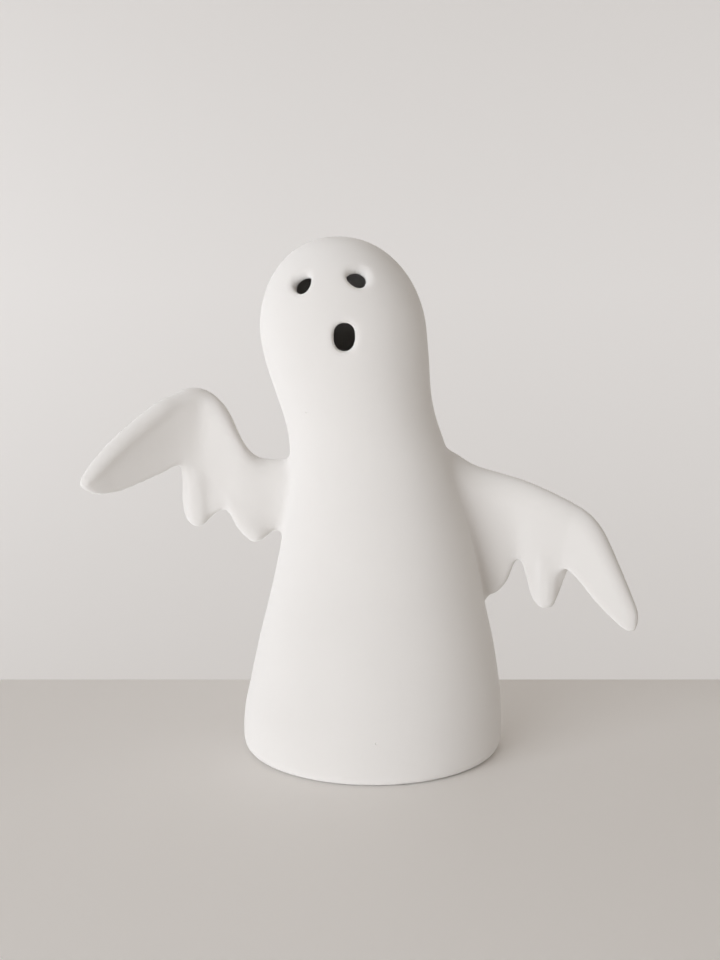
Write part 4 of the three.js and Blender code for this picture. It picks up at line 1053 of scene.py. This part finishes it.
class GHOST_OT_screws(Operator):
    """Make the screws of the cover and the circuit board"""

    bl_idname = "ghost.screws"
    bl_label = "Screws"

    def execute(self, context):
        steel = zinc_plate(context)
        length, width, depth = CROSS_SLOT
        for name in (*COVER_SCREWS, *BOARD_SCREWS):
            low, high = corners(name)
            place = middle(name)
            outline = screw_outline((high.x - low.x) / 2, low.z, high.z)
            title = name.replace("screw", "fastener")
            screw = shape(title, add_turned, outline, place.x, place.y, BORE_STEPS)
            cross_low = (place.x - length / 2, place.y - width / 2, low.z - THROUGH)
            cross_high = (place.x + length / 2, place.y + width / 2, low.z + depth)
            for turn in CROSS_TURNS:
                cross = shape("cross", add_block, cross_low, cross_high, 0, turn, place.xy)
                combine(screw, "DIFFERENCE", cross)
            dress(screw, steel, "light_unit", "steel", name)
        return {"FINISHED"}


class GHOST_OT_cells(Operator):
    """Make the two coin cells with their sealing rings"""

    bl_idname = "ghost.cells"
    bl_label = "Coin cells"

    def execute(self, context):
        steel, black = cell_steel(context), black_plastic(context)
        y = middle("coin_cell_1").y
        for number in (1, 2):
            low, high = corners(f"coin_cell_{number}")
            radius, can_top = (high.y - low.y) / 2, high.z - CELL_STEP
            face_r = radius - CELL_RIM
            seal_in, seal_out = face_r - SEAL_IN, face_r + SEAL_OUT
            dish, face_low = can_top - CAN_DISH, can_top - FACE_SINK
            can_outline = [(0, low.z), (radius, low.z), (radius, can_top), (seal_out, can_top)]
            can_outline += [(seal_out, dish), (0, dish)]
            can = shape(f"cell_{number}", add_turned, eased(can_outline, CAN_EDGE), 0, y)
            face_outline = [(0, face_low), (seal_in, face_low), (seal_in, high.z), (0, high.z)]
            face = shape("cell_face", add_turned, eased(face_outline, FACE_EDGE), 0, y)
            combine(can, "UNION", face)
            dress(can, steel, "light_unit", "cell_steel", f"coin_cell_{number}")
            seal_low, seal_high = can_top - SEAL_SINK, can_top + SEAL_RISE
            section = [(seal_in, seal_low), (seal_out, seal_low), (seal_out, seal_high), (seal_in, seal_high)]
            seal = shape(f"cell_seal_{number}", add_turned, [*section, section[0]], 0, y)
            dress(seal, black, "light_unit", "black_plastic")
        return {"FINISHED"}


class GHOST_OT_contacts(Operator):
    """Make the side leaf and the pronged plate of the battery well"""

    bl_idname = "ghost.contacts"
    bl_label = "Battery contacts"

    def execute(self, context):
        nickel = nickel_plate(context)
        dress(self.leaf(), nickel, "light_unit", "nickel", "positive_contact")
        dress(self.pronged_plate(), nickel, "light_unit", "nickel", "negative_contact")
        return {"FINISHED"}

    def leaf(self):
        """The side leaf: it springs in to the cells' edge, and its tab turns out over the switch."""
        low, high = corners("positive_contact")
        touch = corners("coin_cell_1")[0].y - SEAT
        wall, top = low.y + TAB_REACH, high.z - METAL
        bends = [low.z + height for height in LEAF_BENDS]
        outline = [(wall, low.z), *zip((wall, touch, touch, wall), bends), (wall, top), (low.y, top)]
        return shape("positive_leaf", add_strip, eased(outline, LEAF_EDGE), high.x - low.x, 90, 0)

    def pronged_plate(self):
        """The plate over the cells, with three prongs bent down to them and a tab through the well's roof."""
        low, high = corners("negative_contact")
        y = middle("battery_cap").y
        top = corners("base_cover")[1].z - WELL_WALL - SEAT
        bottom, tip = top - METAL, low.z + PRONG_TIP
        plate = shape("negative_plate", add_round, (0, y), PLATE_R, bottom, top, HEAD_STEPS)
        prong = eased(list(zip(PRONG_BENDS, (bottom, bottom, tip, tip))), PRONG_EDGE)
        added = [shape("prong", add_strip, prong, PRONG_WIDTH, turn, y) for turn in PRONG_TURNS]
        tab_x, tab_y = NEGATIVE_TAB[0], y + NEGATIVE_TAB[1]
        tab = ((tab_x - METAL / 2, tab_y - TAB_HALF, bottom), (tab_x + METAL / 2, tab_y + TAB_HALF, high.z))
        added.append(shape("tab", add_block, *tab))
        root_low, root_high = (0, tab_y - TAB_HALF, bottom), (tab_x, tab_y + TAB_HALF, top)
        added.append(shape("tab_root", add_block, root_low, root_high))
        combine(plate, "UNION", *added)
        return plate


def positive_run():
    """The red wire from the side leaf's tab to the switch's middle pin."""
    leaf_low, leaf_high = corners("positive_contact")
    pin, pin_top = middle("switch_pin_2"), corners("switch_pin_2")[1].z
    y, z = leaf_low.y + TAB_REACH / 2, leaf_high.z
    return [
        (0.2, y - 0.3, z + SEAT),
        (0.5, y - 0.4, z + 1),
        (1.2, y - 1.3, z + 1.9),
        (0.9, pin.y + 0.9, z + 1.8),
        (pin.x, pin.y, pin_top + 1.2),
        (pin.x, pin.y, pin_top + SEAT),
    ]


def board_pad(degrees):
    """Where a wire meets the board's underside, in a direction from its middle."""
    low, high = corners("circuit_board")
    return (*around(high.y - PAD_INSET, degrees), low.z)


def switched_run():
    """The red wire from the switch's first pin to the board."""
    pin, pin_top = middle("switch_pin_1"), corners("switch_pin_1")[1].z
    x, y, z = board_pad(SWITCHED_PAD)
    return [
        (pin.x, pin.y, pin_top + SEAT),
        (pin.x, pin.y, pin_top + 1.2),
        (pin.x - 1.1, pin.y + 0.7, pin_top + 3),
        (x + 0.3, y - 1.3, z - 2.2),
        (x, y - 0.2, z - 1.2),
        (x, y, z - SEAT),
    ]


def negative_run():
    """The black wire from the pronged plate's tab to the board."""
    x, y, z = board_pad(NEGATIVE_PAD)
    tab_x, tab_y = NEGATIVE_TAB[0] + METAL, middle("battery_cap").y + NEGATIVE_TAB[1]
    tab_z = corners("base_cover")[1].z + WIRE_OVER
    return [
        (tab_x, tab_y, tab_z),
        (tab_x + 1.1, tab_y, tab_z),
        (x - 1.4, tab_y - 1.2, tab_z + 0.1),
        (x + 0.2, y + 5.2, tab_z + 0.2),
        (x + 0.1, y + 1.6, tab_z + 0.5),
        (x, y + 0.2, z - 0.9),
        (x, y, z - SEAT),
    ]


class GHOST_OT_board(Operator):
    """Make the circuit board with its chip, resistor, tracks and solder"""

    bl_idname = "ghost.board"
    bl_label = "Circuit board"

    def execute(self, context):
        low, high = corners("circuit_board")
        board = shape("round_board", add_round, (0, 0), high.y, low.z, high.z)
        holes = bmesh.new()
        drills = [(name, SCREW_R + SEAT, BORE_STEPS) for name in BOARD_SCREWS]
        drills += [(name, LEAD_HOLE_R, FINE_STEPS) for name in LEADS]
        for name, radius, sides in drills:
            add_round(holes, middle(name).xy, radius, low.z - THROUGH, high.z + THROUGH, sides)
        combine(board, "DIFFERENCE", new_piece("board_holes", holes))
        dress(board, solder_mask(context), "light_unit", "board", "circuit_board")
        self.add_chip(context)
        self.add_resistor(context)
        self.add_tracks(context, high.z)
        self.add_solder(context, low.z)
        return {"FINISHED"}

    def add_chip(self, context):
        low, high = corners("timer_chip")
        chip = bmesh.new()
        body_low = (low.x, low.y + CHIP_INSET, low.z + CHIP_ABOVE)
        add_block(chip, body_low, (high.x, high.y - CHIP_INSET, high.z), CHIP_EDGE)
        mark_x, mark_y, mark_r = CHIP_MARK
        mark = (low.x + mark_x, high.y - mark_y)
        add_round(chip, mark, mark_r, high.z - MARK_DEEP, high.z + MARK_PROUD, FINE_STEPS)
        body = new_piece("chip_body", chip)
        dress(body, black_plastic(context), "light_unit", "black_plastic", "timer_chip")
        legs = bmesh.new()
        pitch = (high.x - low.x) / CHIP_LEGS
        for place in range(CHIP_LEGS):
            x = low.x + (place + 0.5) * pitch
            for side, edge in ((-1, -(low.y + CHIP_INSET)), (1, high.y - CHIP_INSET)):
                bends = [(edge + reach, low.z + height) for reach, height in LEG_BENDS]
                before = len(legs.verts)
                add_strip(legs, eased(bends, EDGE, 2), LEG_WIDTH, 90 * side, 0, LEG_THICK)
                legs.verts.ensure_lookup_table()
                bmesh.ops.translate(legs, verts=legs.verts[before:], vec=Vector((x * MM, 0, 0)))
        dress(new_piece("chip_legs", legs), nickel_plate(context), "light_unit", "nickel")

    def add_resistor(self, context):
        low, high = corners("resistor")
        inset = RESISTOR_END - RESISTOR_JOIN
        body_low, body_high = (low.x + inset, low.y, low.z), (high.x - inset, high.y, high.z)
        body = shape("resistor_body", add_block, body_low, body_high, RESISTOR_EDGE)
        dress(body, black_plastic(context), "light_unit", "black_plastic", "resistor")
        ends = bmesh.new()
        top = high.z - RESISTOR_STEP
        add_block(ends, low, (low.x + RESISTOR_END, high.y, top), RESISTOR_END_EDGE)
        right_low, right_high = (high.x - RESISTOR_END, low.y, low.z), (high.x, high.y, top)
        add_block(ends, right_low, right_high, RESISTOR_END_EDGE)
        dress(new_piece("resistor_ends", ends), nickel_plate(context), "light_unit", "nickel")

    def add_tracks(self, context, top):
        """Tinned tracks between the lamp, the resistor and the chip."""
        left, right = (middle(name) for name in LEADS)
        chip, resistor = middle("timer_chip"), middle("resistor")
        turn_x = resistor.x + TRACK_END + TRACK_TURN
        runs = [
            [(left.x, 0), (left.x, chip.y), (chip.x + TRACK_TO_CHIP, chip.y)],
            [(right.x, 0), (right.x, resistor.y), (resistor.x - TRACK_END, resistor.y)],
            [(resistor.x + TRACK_END, resistor.y), (turn_x, resistor.y), (turn_x, TRACK_STOP)],
        ]
        tracks = bmesh.new()
        for run in runs:
            for (x0, y0), (x1, y1) in zip(run, run[1:]):
                x_low, x_high = sorted((x0, x1))
                y_low, y_high = sorted((y0, y1))
                past_y = TRACK_HALF if x0 != x1 else -TRACK_HALF
                track_low = (x_low - TRACK_HALF, y_low - past_y, top)
                add_block(tracks, track_low, (x_high + TRACK_HALF, y_high + past_y, top + TRACK_THICK))
        dress(new_piece("board_tracks", tracks), nickel_plate(context), "light_unit", "nickel")

    def add_solder(self, context, bottom):
        """Solder cones where the leads and the wires meet the board and the switch."""
        solder = bmesh.new()
        cone = [(0, bottom), *eased([(r, bottom - depth) for r, depth in LEAD_CONE], SOLDER_EDGE)]
        for name in LEADS:
            add_turned(solder, cone, middle(name).x, middle(name).y, FINE_STEPS)
        joints = [(run[-1], PAD_CONE) for run in (switched_run(), negative_run())]
        joints += [(positive_run()[-1], PIN_BLOB), (switched_run()[0], PIN_BLOB)]
        for (x, y, z), outline in joints:
            add_turned(solder, [(r, z + height) for r, height in outline], x, y, FINE_STEPS)
        dress(new_piece("solder", solder), nickel_plate(context), "light_unit", "nickel")


class GHOST_OT_lamp(Operator):
    """Make the clear lamp with its chip, its cup and its two leads"""

    bl_idname = "ghost.lamp"
    bl_label = "Lamp"

    def execute(self, context):
        sizes = context.scene.ghost_unit
        low, high = corners("led_lamp")
        flange, flange_top = high.y, low.z + LAMP_FLANGE
        radius = flange - sizes.lamp_rim
        outline = [(0, low.z), (flange, low.z), (flange, flange_top), (radius, flange_top)]
        for degrees in range(0, 90, LENS_STEP):
            x, z = around(radius, degrees)
            outline.append((x, high.z - radius + z))
        outline.append((0, high.z))
        lens = shape("lamp_lens", add_turned, outline, 0, 0, LENS_STEPS)
        dress(lens, clear_epoxy(context), "light_unit", "clear_epoxy", "led_lamp")
        nickel = nickel_plate(context)
        posts = bmesh.new()
        for name in LEADS:
            lead = shape(name.replace("lead", "leg"), add_block, *corners(name), LEAD_EDGE)
            dress(lead, nickel, "light_unit", "nickel", name)
            x = middle(name).x
            for half_x, half_y, start, end, rounding in LAMP_POST:
                post_low, post_high = (x - half_x, -half_y, low.z + start), (x + half_x, half_y, low.z + end)
                add_block(posts, post_low, post_high, rounding)
        cup_x, cup_z = middle(LEADS[0]).x + CUP_PLACE[0], low.z + CUP_PLACE[1]
        add_turned(posts, [(r, cup_z + height) for r, height in LAMP_CUP], cup_x, 0, BORE_STEPS)
        dress(new_piece("lamp_posts", posts), nickel, "light_unit", "nickel")
        drop = [(r, cup_z + height) for r, height in LAMP_DROP]
        phosphor = shape("lamp_phosphor", add_turned, drop, cup_x, 0, BORE_STEPS)
        dress(phosphor, phosphor_gel(context), "light_unit", "clear_epoxy")
        return {"FINISHED"}


class GHOST_OT_switch(Operator):
    """Make the slide switch with its knob and pins"""

    bl_idname = "ghost.switch"
    bl_label = "Slide switch"

    def execute(self, context):
        low, high = corners("switch_frame")
        can = shape("switch_can", add_block, low, high, SWITCH_EDGE)
        room_low = (low.x + METAL, low.y + METAL, low.z + METAL)
        room_high = (high.x - METAL, high.y - METAL, high.z + THROUGH)
        room = shape("can_room", add_block, room_low, room_high)
        combine(can, "DIFFERENCE", room, stem_window(low.z - THROUGH, low.z + THROUGH))
        dress(can, zinc_plate(context), "light_unit", "steel", "switch_frame")
        base = shape("switch_insulator", add_block, *corners("switch_base"), PIN_EDGE)
        dress(base, phenolic_board(context), "light_unit", "phenolic", "switch_base")
        nickel = nickel_plate(context)
        for number in (1, 2, 3):
            title, places = f"terminal_{number}", corners(f"switch_pin_{number}")
            pin = shape(title, add_block, *places, PIN_EDGE)
            dress(pin, nickel, "light_unit", "nickel", f"switch_pin_{number}")
        slider = self.slider(low.z - SEAT - COVER_THICK + KNOB_SUNK)
        dress(slider, black_plastic(context), "switch_knob", "black_plastic", "switch_knob")
        return {"FINISHED"}

    def slider(self, pad_top):
        """The knob: a ridged pad for a fingernail, and the stem that goes up into the switch."""
        low, high = corners("switch_knob")
        stem = middle("switch_knob")
        knob = bmesh.new()
        add_block(knob, (low.x, low.y, low.z + KNOB_STEP), (high.x, high.y, pad_top), KNOB_EDGE)
        stem_low = (stem.x - STEM_HALF, stem.y - STEM_HALF, pad_top - JOIN)
        add_block(knob, stem_low, (stem.x + STEM_HALF, stem.y + STEM_HALF, high.z), EDGE)
        pitch = (high.x - low.x) / KNOB_RIDGES
        for ridge in range(KNOB_RIDGES):
            x = low.x + (ridge + 0.5) * pitch
            ridge_high = (x + pitch / 4, high.y, pad_top - RIDGE_SHORT)
            add_block(knob, (x - pitch / 4, low.y, low.z), ridge_high, EDGE)
        return new_piece("slider", knob)


class GHOST_OT_wires(Operator):
    """Make the three wires"""

    bl_idname = "ghost.wires"
    bl_label = "Wires"

    def execute(self, context):
        settings = context.scene.ghost_unit
        red = finish("red_insulation", settings.red, 0.4)
        black = finish("black_insulation", settings.black, 0.4)
        runs = [
            ("positive_wire", positive_run(), red, "red_insulation", "wire_positive"),
            ("switched_wire", switched_run(), red, "red_insulation", "wire_switched"),
            ("negative_wire", negative_run(), black, "black_insulation", "wire_negative"),
        ]
        for name, points, material, slot, node in runs:
            dress(shape(name, add_tube, points, WIRE_R), material, "light_unit", slot, node)
        return {"FINISHED"}


def add_node(tree, kind, values=None, **settings):
    """A new node with its settings, and with values on its inputs by name."""
    node = tree.nodes.new(kind)
    for setting, value in settings.items():
        setattr(node, setting, value)
    for title, value in (values or {}).items():
        node.inputs[title].default_value = value
    return node


def join(tree, *links):
    """Joins each output of a node to an input: rows of node, output, node and input."""
    for source, output, target, socket in links:
        tree.links.new(source.outputs[output], target.inputs[socket])


def effect_group(name, inputs, outputs):
    """An empty node group with named sockets, and its nodes for what goes in and what comes out."""
    group = bpy.data.node_groups.new(name, "ShaderNodeTree")
    for title, kind, default in inputs:
        group.interface.new_socket(title, in_out="INPUT", socket_type=kind).default_value = default
    for title, kind in outputs:
        group.interface.new_socket(title, in_out="OUTPUT", socket_type=kind)
    return group, group.nodes.new("NodeGroupInput"), group.nodes.new("NodeGroupOutput")


def built_once(build):
    """Builds a node group on the first call, and gives the same one afterwards."""

    def group():
        return bpy.data.node_groups.get(build.__name__) or build()

    return group


def add_noise(group, given, detail=2):
    """Noise on the piece's own place, at the scale given to the group."""
    noise = add_node(group, "ShaderNodeTexNoise", {"Detail": detail})
    place = group.nodes.new("ShaderNodeTexCoord")
    join(group, (place, "Object", noise, "Vector"), (given, "Scale", noise, "Scale"))
    return noise


@built_once
def fine_grain():
    """A fine bump all over: how fine it is, and its depth."""
    inputs = [("Scale", "NodeSocketFloat", 1500.0), ("Depth", "NodeSocketFloat", 0.1)]
    group, given, made = effect_group("fine_grain", inputs, [("Normal", "NodeSocketVector")])
    noise = add_noise(group, given, 3)
    bump = add_node(group, "ShaderNodeBump", {"Distance": 0.0002})
    join(
        group,
        (given, "Depth", bump, "Strength"),
        (noise, "Fac", bump, "Height"),
        (bump, "Normal", made, "Normal"),
    )
    return group


@built_once
def uneven():
    """A value that wanders softly between two others, for roughness."""
    inputs = [
        ("Scale", "NodeSocketFloat", 120.0),
        ("Low", "NodeSocketFloat", 0.3),
        ("High", "NodeSocketFloat", 0.5),
    ]
    group, given, made = effect_group("uneven", inputs, [("Value", "NodeSocketFloat")])
    noise = add_noise(group, given)
    spread = add_node(group, "ShaderNodeMapRange", {"From Min": 0.3, "From Max": 0.7})
    join(
        group,
        (noise, "Fac", spread, "Value"),
        (given, "Low", spread, "To Min"),
        (given, "High", spread, "To Max"),
        (spread, "Result", made, "Value"),
    )
    return group


@built_once
def mottle():
    """Two close colours in soft patches."""
    inputs = [
        ("Scale", "NodeSocketFloat", 60.0),
        ("Light", "NodeSocketColor", (1, 1, 1, 1)),
        ("Dark", "NodeSocketColor", (0.9, 0.9, 0.9, 1)),
    ]
    group, given, made = effect_group("mottle", inputs, [("Color", "NodeSocketColor")])
    noise = add_noise(group, given, 4)
    blend = add_node(group, "ShaderNodeMix", data_type="RGBA")
    join(
        group,
        (noise, "Fac", blend, "Factor"),
        (given, "Light", blend, "A"),
        (given, "Dark", blend, "B"),
        (blend, "Result", made, "Color"),
    )
    return group


@built_once
def pinholes():
    """A mask of one pinhole, where shade is painted: 1 at its place, 0 past its radius, both in metres."""
    inputs = [("Place", "NodeSocketVector", (0, 0, 0)), ("Radius", "NodeSocketFloat", 0.0003)]
    group, given, made = effect_group("pinholes", inputs, [("Mask", "NodeSocketFloat")])
    place = group.nodes.new("ShaderNodeTexCoord")
    distance = add_node(group, "ShaderNodeVectorMath", operation="DISTANCE")
    ramp = {"From Min": 0, "To Min": 1, "To Max": 0}
    inside = add_node(group, "ShaderNodeMapRange", ramp, interpolation_type="SMOOTHSTEP")
    join(
        group,
        (place, "Object", distance, 0),
        (given, "Place", distance, 1),
        (distance, "Value", inside, "Value"),
        (given, "Radius", inside, "From Max"),
        (inside, "Result", made, "Mask"),
    )
    return group


def principled(material):
    return material.node_tree.nodes["Principled BSDF"]


def add_effect(material, group, **values):
    """Places a node group in a material with its own values."""
    return add_node(material.node_tree, "ShaderNodeGroup", node_tree=group, values=values)


def finish(name, color, roughness, metallic=0.0, grain=None, wander=None):
    """A material by name, with its grain as (scale, depth) and its uneven roughness as (scale, low, high)."""
    if name in bpy.data.materials:
        return bpy.data.materials[name]
    material = bpy.data.materials.new(name)
    material.use_nodes = True
    shader = principled(material)
    shader.inputs["Base Color"].default_value = (*color, 1)
    shader.inputs["Roughness"].default_value = roughness
    shader.inputs["Metallic"].default_value = metallic
    if grain:
        bumps = add_effect(material, fine_grain(), Scale=grain[0], Depth=grain[1])
        join(material.node_tree, (bumps, "Normal", shader, "Normal"))
    if wander:
        spots = add_effect(material, uneven(), Scale=wander[0], Low=wander[1], High=wander[2])
        join(material.node_tree, (spots, "Value", shader, "Roughness"))
    return material


def matte_bisque(context):
    """Unglazed white ceramic with a dry grain, faint patches, and painted shade in its two pinholes."""
    light = tuple(context.scene.ghost_ceramic.color)
    material = finish("matte_bisque", light, 0.62, grain=(2200, 0.12))
    tree, shader = material.node_tree, principled(material)
    shader.inputs["Diffuse Roughness"].default_value = 1
    shader.inputs["Specular IOR Level"].default_value = 0.3
    dark = tuple(value * PATCH_SHADE for value in light)
    patches = add_effect(material, mottle(), Scale=PATCH_SCALE, Light=(*light, 1), Dark=(*dark, 1))
    color = (patches, "Color")
    # Each pinhole is darkened towards its middle: painted shade in the pit
    for place, radius in PINHOLES:
        hole = add_effect(material, pinholes(), Place=spot(*place), Radius=radius * MM)
        shadow = add_node(tree, "ShaderNodeMix", data_type="RGBA", values={"B": (*PINHOLE_SHADOW, 1)})
        join(tree, (hole, "Mask", shadow, "Factor"), (*color, shadow, "A"))
        color = (shadow, "Result")
    join(tree, (*color, shader, "Base Color"))
    return material


def moulded_plastic(context):
    color = context.scene.ghost_unit.plastic
    material = finish("moulded_plastic", color, 0.45, grain=(3500, 0.05), wander=(90, 0.4, 0.52))
    principled(material).inputs["Subsurface Weight"].default_value = 0.15
    principled(material).inputs["Subsurface Scale"].default_value = 0.001
    return material


def soft_silicone(context):
    color = context.scene.ghost_unit.silicone
    return finish("soft_silicone", color, 0.6, grain=(2500, 0.05), wander=(200, 0.52, 0.68))


def zinc_plate(context):
    return finish("zinc_plate", (0.5, 0.51, 0.52), 0.34, 1, grain=(4000, 0.04), wander=(800, 0.26, 0.42))


def cell_steel(context):
    return finish("cell_steel", (0.62, 0.62, 0.62), 0.24, 1, grain=(5000, 0.03), wander=(300, 0.18, 0.3))


def nickel_plate(context):
    return finish("nickel_plate", (0.58, 0.55, 0.5), 0.26, 1, wander=(600, 0.2, 0.34))


def black_plastic(context):
    color = context.scene.ghost_unit.black
    return finish("black_plastic", color, 0.5, grain=(5000, 0.06), wander=(300, 0.42, 0.56))


def solder_mask(context):
    return finish("solder_mask", (0.02, 0.11, 0.045), 0.35, wander=(250, 0.28, 0.42))


def phenolic_board(context):
    return finish("phenolic_board", (0.16, 0.08, 0.035), 0.6, grain=(3000, 0.08))


def clear_epoxy(context):
    material = finish("clear_epoxy", (0.93, 0.96, 0.97), 0.04)
    principled(material).inputs["Transmission Weight"].default_value = 1
    principled(material).inputs["IOR"].default_value = 1.53
    return material


def phosphor_gel(context):
    return finish("phosphor_gel", (0.75, 0.6, 0.08), 0.4)


class StageSettings(PropertyGroup):
    table_color: FloatVectorProperty(
        name="Table", description="Colour of the table top", subtype="COLOR", default=(0.92, 0.9, 0.875)
    )
    wall_color: FloatVectorProperty(
        name="Wall", description="Colour of the plain wall behind", subtype="COLOR", default=(0.84, 0.82, 0.8)
    )
    key: FloatProperty(name="Key light", description="Soft light from the left", default=11.6, unit="POWER")
    fill: FloatProperty(name="Fill light", description="Light from the right", default=0.9, unit="POWER")
    back: FloatProperty(name="Back light", description="Light on the back", default=1.7, unit="POWER")
    wall_left: FloatProperty(name="Wall, left", description="Light on the wall", default=1.9, unit="POWER")
    wall_right: FloatProperty(name="Wall, right", description="Light on the wall", default=1.5, unit="POWER")
    room: FloatVectorProperty(
        name="Room light", description="Light from all round", subtype="COLOR", default=(0.36, 0.328, 0.295)
    )
    backdrop: FloatVectorProperty(
        name="Backdrop",
        description="Colour that the open room shows",
        subtype="COLOR",
        default=(0.76, 0.745, 0.73),
    )


class GHOST_OT_stage(Operator):
    """Make the table, the wall, the lights and the camera"""

    bl_idname = "ghost.stage"
    bl_label = "Stage"

    def execute(self, context):
        settings = context.scene.ghost_stage
        add_camera(context)
        table = stage_plane("table_top", TABLE, TABLE_OPENING)
        table.data.materials.append(finish("pale_table", settings.table_color, 0.55))
        wall = stage_plane("wall", WALL)
        wall.data.materials.append(finish("pale_wall", settings.wall_color, 0.8))
        for name, place, aim, size, power in LIGHTS:
            add_area_light(name, spot(*place), spot(*aim), size, getattr(settings, power))
        context.scene.world = surroundings(settings)
        context.scene.view_settings.view_transform = "Standard"
        return {"FINISHED"}


def stage_plane(name, outline, opening=0):
    """A flat plane, open under the figure where a radius is given, so that its underside shows from below."""
    bm = bmesh.new()
    points = [bm.verts.new(spot(*point)) for point in outline]
    for start, end in zip(points, points[1:] + points[:1]):
        bm.edges.new((start, end))
    if opening:
        place = Matrix.Translation(spot(0, 0, 0))
        bmesh.ops.create_circle(bm, segments=TURN_STEPS, radius=opening * MM, matrix=place)
    bmesh.ops.triangle_fill(bm, use_beauty=True, use_dissolve=False, edges=bm.edges[:], normal=(0, 0, 0))
    return new_piece(name, bm)


def surroundings(settings):
    """Even light from the room, which the camera and glossy surfaces see as a pale backdrop."""
    world = bpy.data.worlds.new("surroundings")
    world.use_nodes = True
    tree = world.node_tree
    path = add_node(tree, "ShaderNodeLightPath")
    seen = add_node(tree, "ShaderNodeMath", operation="MAXIMUM")
    colors = {"A": (*settings.room, 1), "B": (*settings.backdrop, 1)}
    mix = add_node(tree, "ShaderNodeMix", data_type="RGBA", values=colors)
    join(
        tree,
        (path, "Is Camera Ray", seen, 0),
        (path, "Is Glossy Ray", seen, 1),
        (seen, "Value", mix, "Factor"),
        (mix, "Result", tree.nodes["Background"], "Color"),
    )
    return world


def add_area_light(name, place, aim, size, power):
    light = bpy.data.lights.new(name, "AREA")
    light.shape = "SQUARE"
    light.size = size
    light.energy = power
    light.color = DAYLIGHT
    lamp = bpy.data.objects.new(name, light)
    lamp.location = place
    lamp.rotation_euler = (aim - place).to_track_quat("-Z", "Y").to_euler()
    bpy.context.scene.collection.objects.link(lamp)


def add_camera(context):
    camera = bpy.data.cameras.new("camera")
    camera.lens = LENS
    camera.sensor_width = SENSOR
    holder = bpy.data.objects.new("camera", camera)
    holder.location = spot(*CAMERA_PLACE)
    holder.rotation_euler = (math.radians(90 - CAMERA_DOWN), 0, 0)
    context.scene.collection.objects.link(holder)
    context.scene.camera = holder


class GHOST_PT_sidebar(Panel):
    """Lists the steps that make the figurine, one for each piece or group of pieces"""

    bl_idname = "GHOST_PT_sidebar"
    bl_label = "Ghost figurine"
    bl_space_type = "VIEW_3D"
    bl_region_type = "UI"
    bl_category = "Ghost"

    def draw(self, context):
        for step in STEPS:
            self.layout.operator(step.bl_idname)


STEPS = (
    GHOST_OT_stage,
    GHOST_OT_ceramic,
    GHOST_OT_base_cover,
    GHOST_OT_battery_cap,
    GHOST_OT_housing,
    GHOST_OT_grip_ring,
    GHOST_OT_screws,
    GHOST_OT_cells,
    GHOST_OT_contacts,
    GHOST_OT_board,
    GHOST_OT_lamp,
    GHOST_OT_switch,
    GHOST_OT_wires,
)
CLASSES = (CeramicSizes, UnitSettings, StageSettings, *STEPS, GHOST_PT_sidebar)


def register():
    for item in CLASSES:
        bpy.utils.register_class(item)
    bpy.types.Scene.ghost_ceramic = PointerProperty(type=CeramicSizes)
    bpy.types.Scene.ghost_unit = PointerProperty(type=UnitSettings)
    bpy.types.Scene.ghost_stage = PointerProperty(type=StageSettings)


def unregister():
    del bpy.types.Scene.ghost_ceramic
    del bpy.types.Scene.ghost_unit
    del bpy.types.Scene.ghost_stage
    for item in reversed(CLASSES):
        bpy.utils.unregister_class(item)


def main():
    register()
    bpy.ops.ghost.stage()
    bpy.ops.ghost.ceramic()
    bpy.ops.ghost.base_cover()
    bpy.ops.ghost.battery_cap()
    bpy.ops.ghost.housing()
    bpy.ops.ghost.grip_ring()
    bpy.ops.ghost.screws()
    bpy.ops.ghost.cells()
    bpy.ops.ghost.contacts()
    bpy.ops.ghost.board()
    bpy.ops.ghost.lamp()
    bpy.ops.ghost.switch()
    bpy.ops.ghost.wires()


if __name__ == "__main__":
    main()
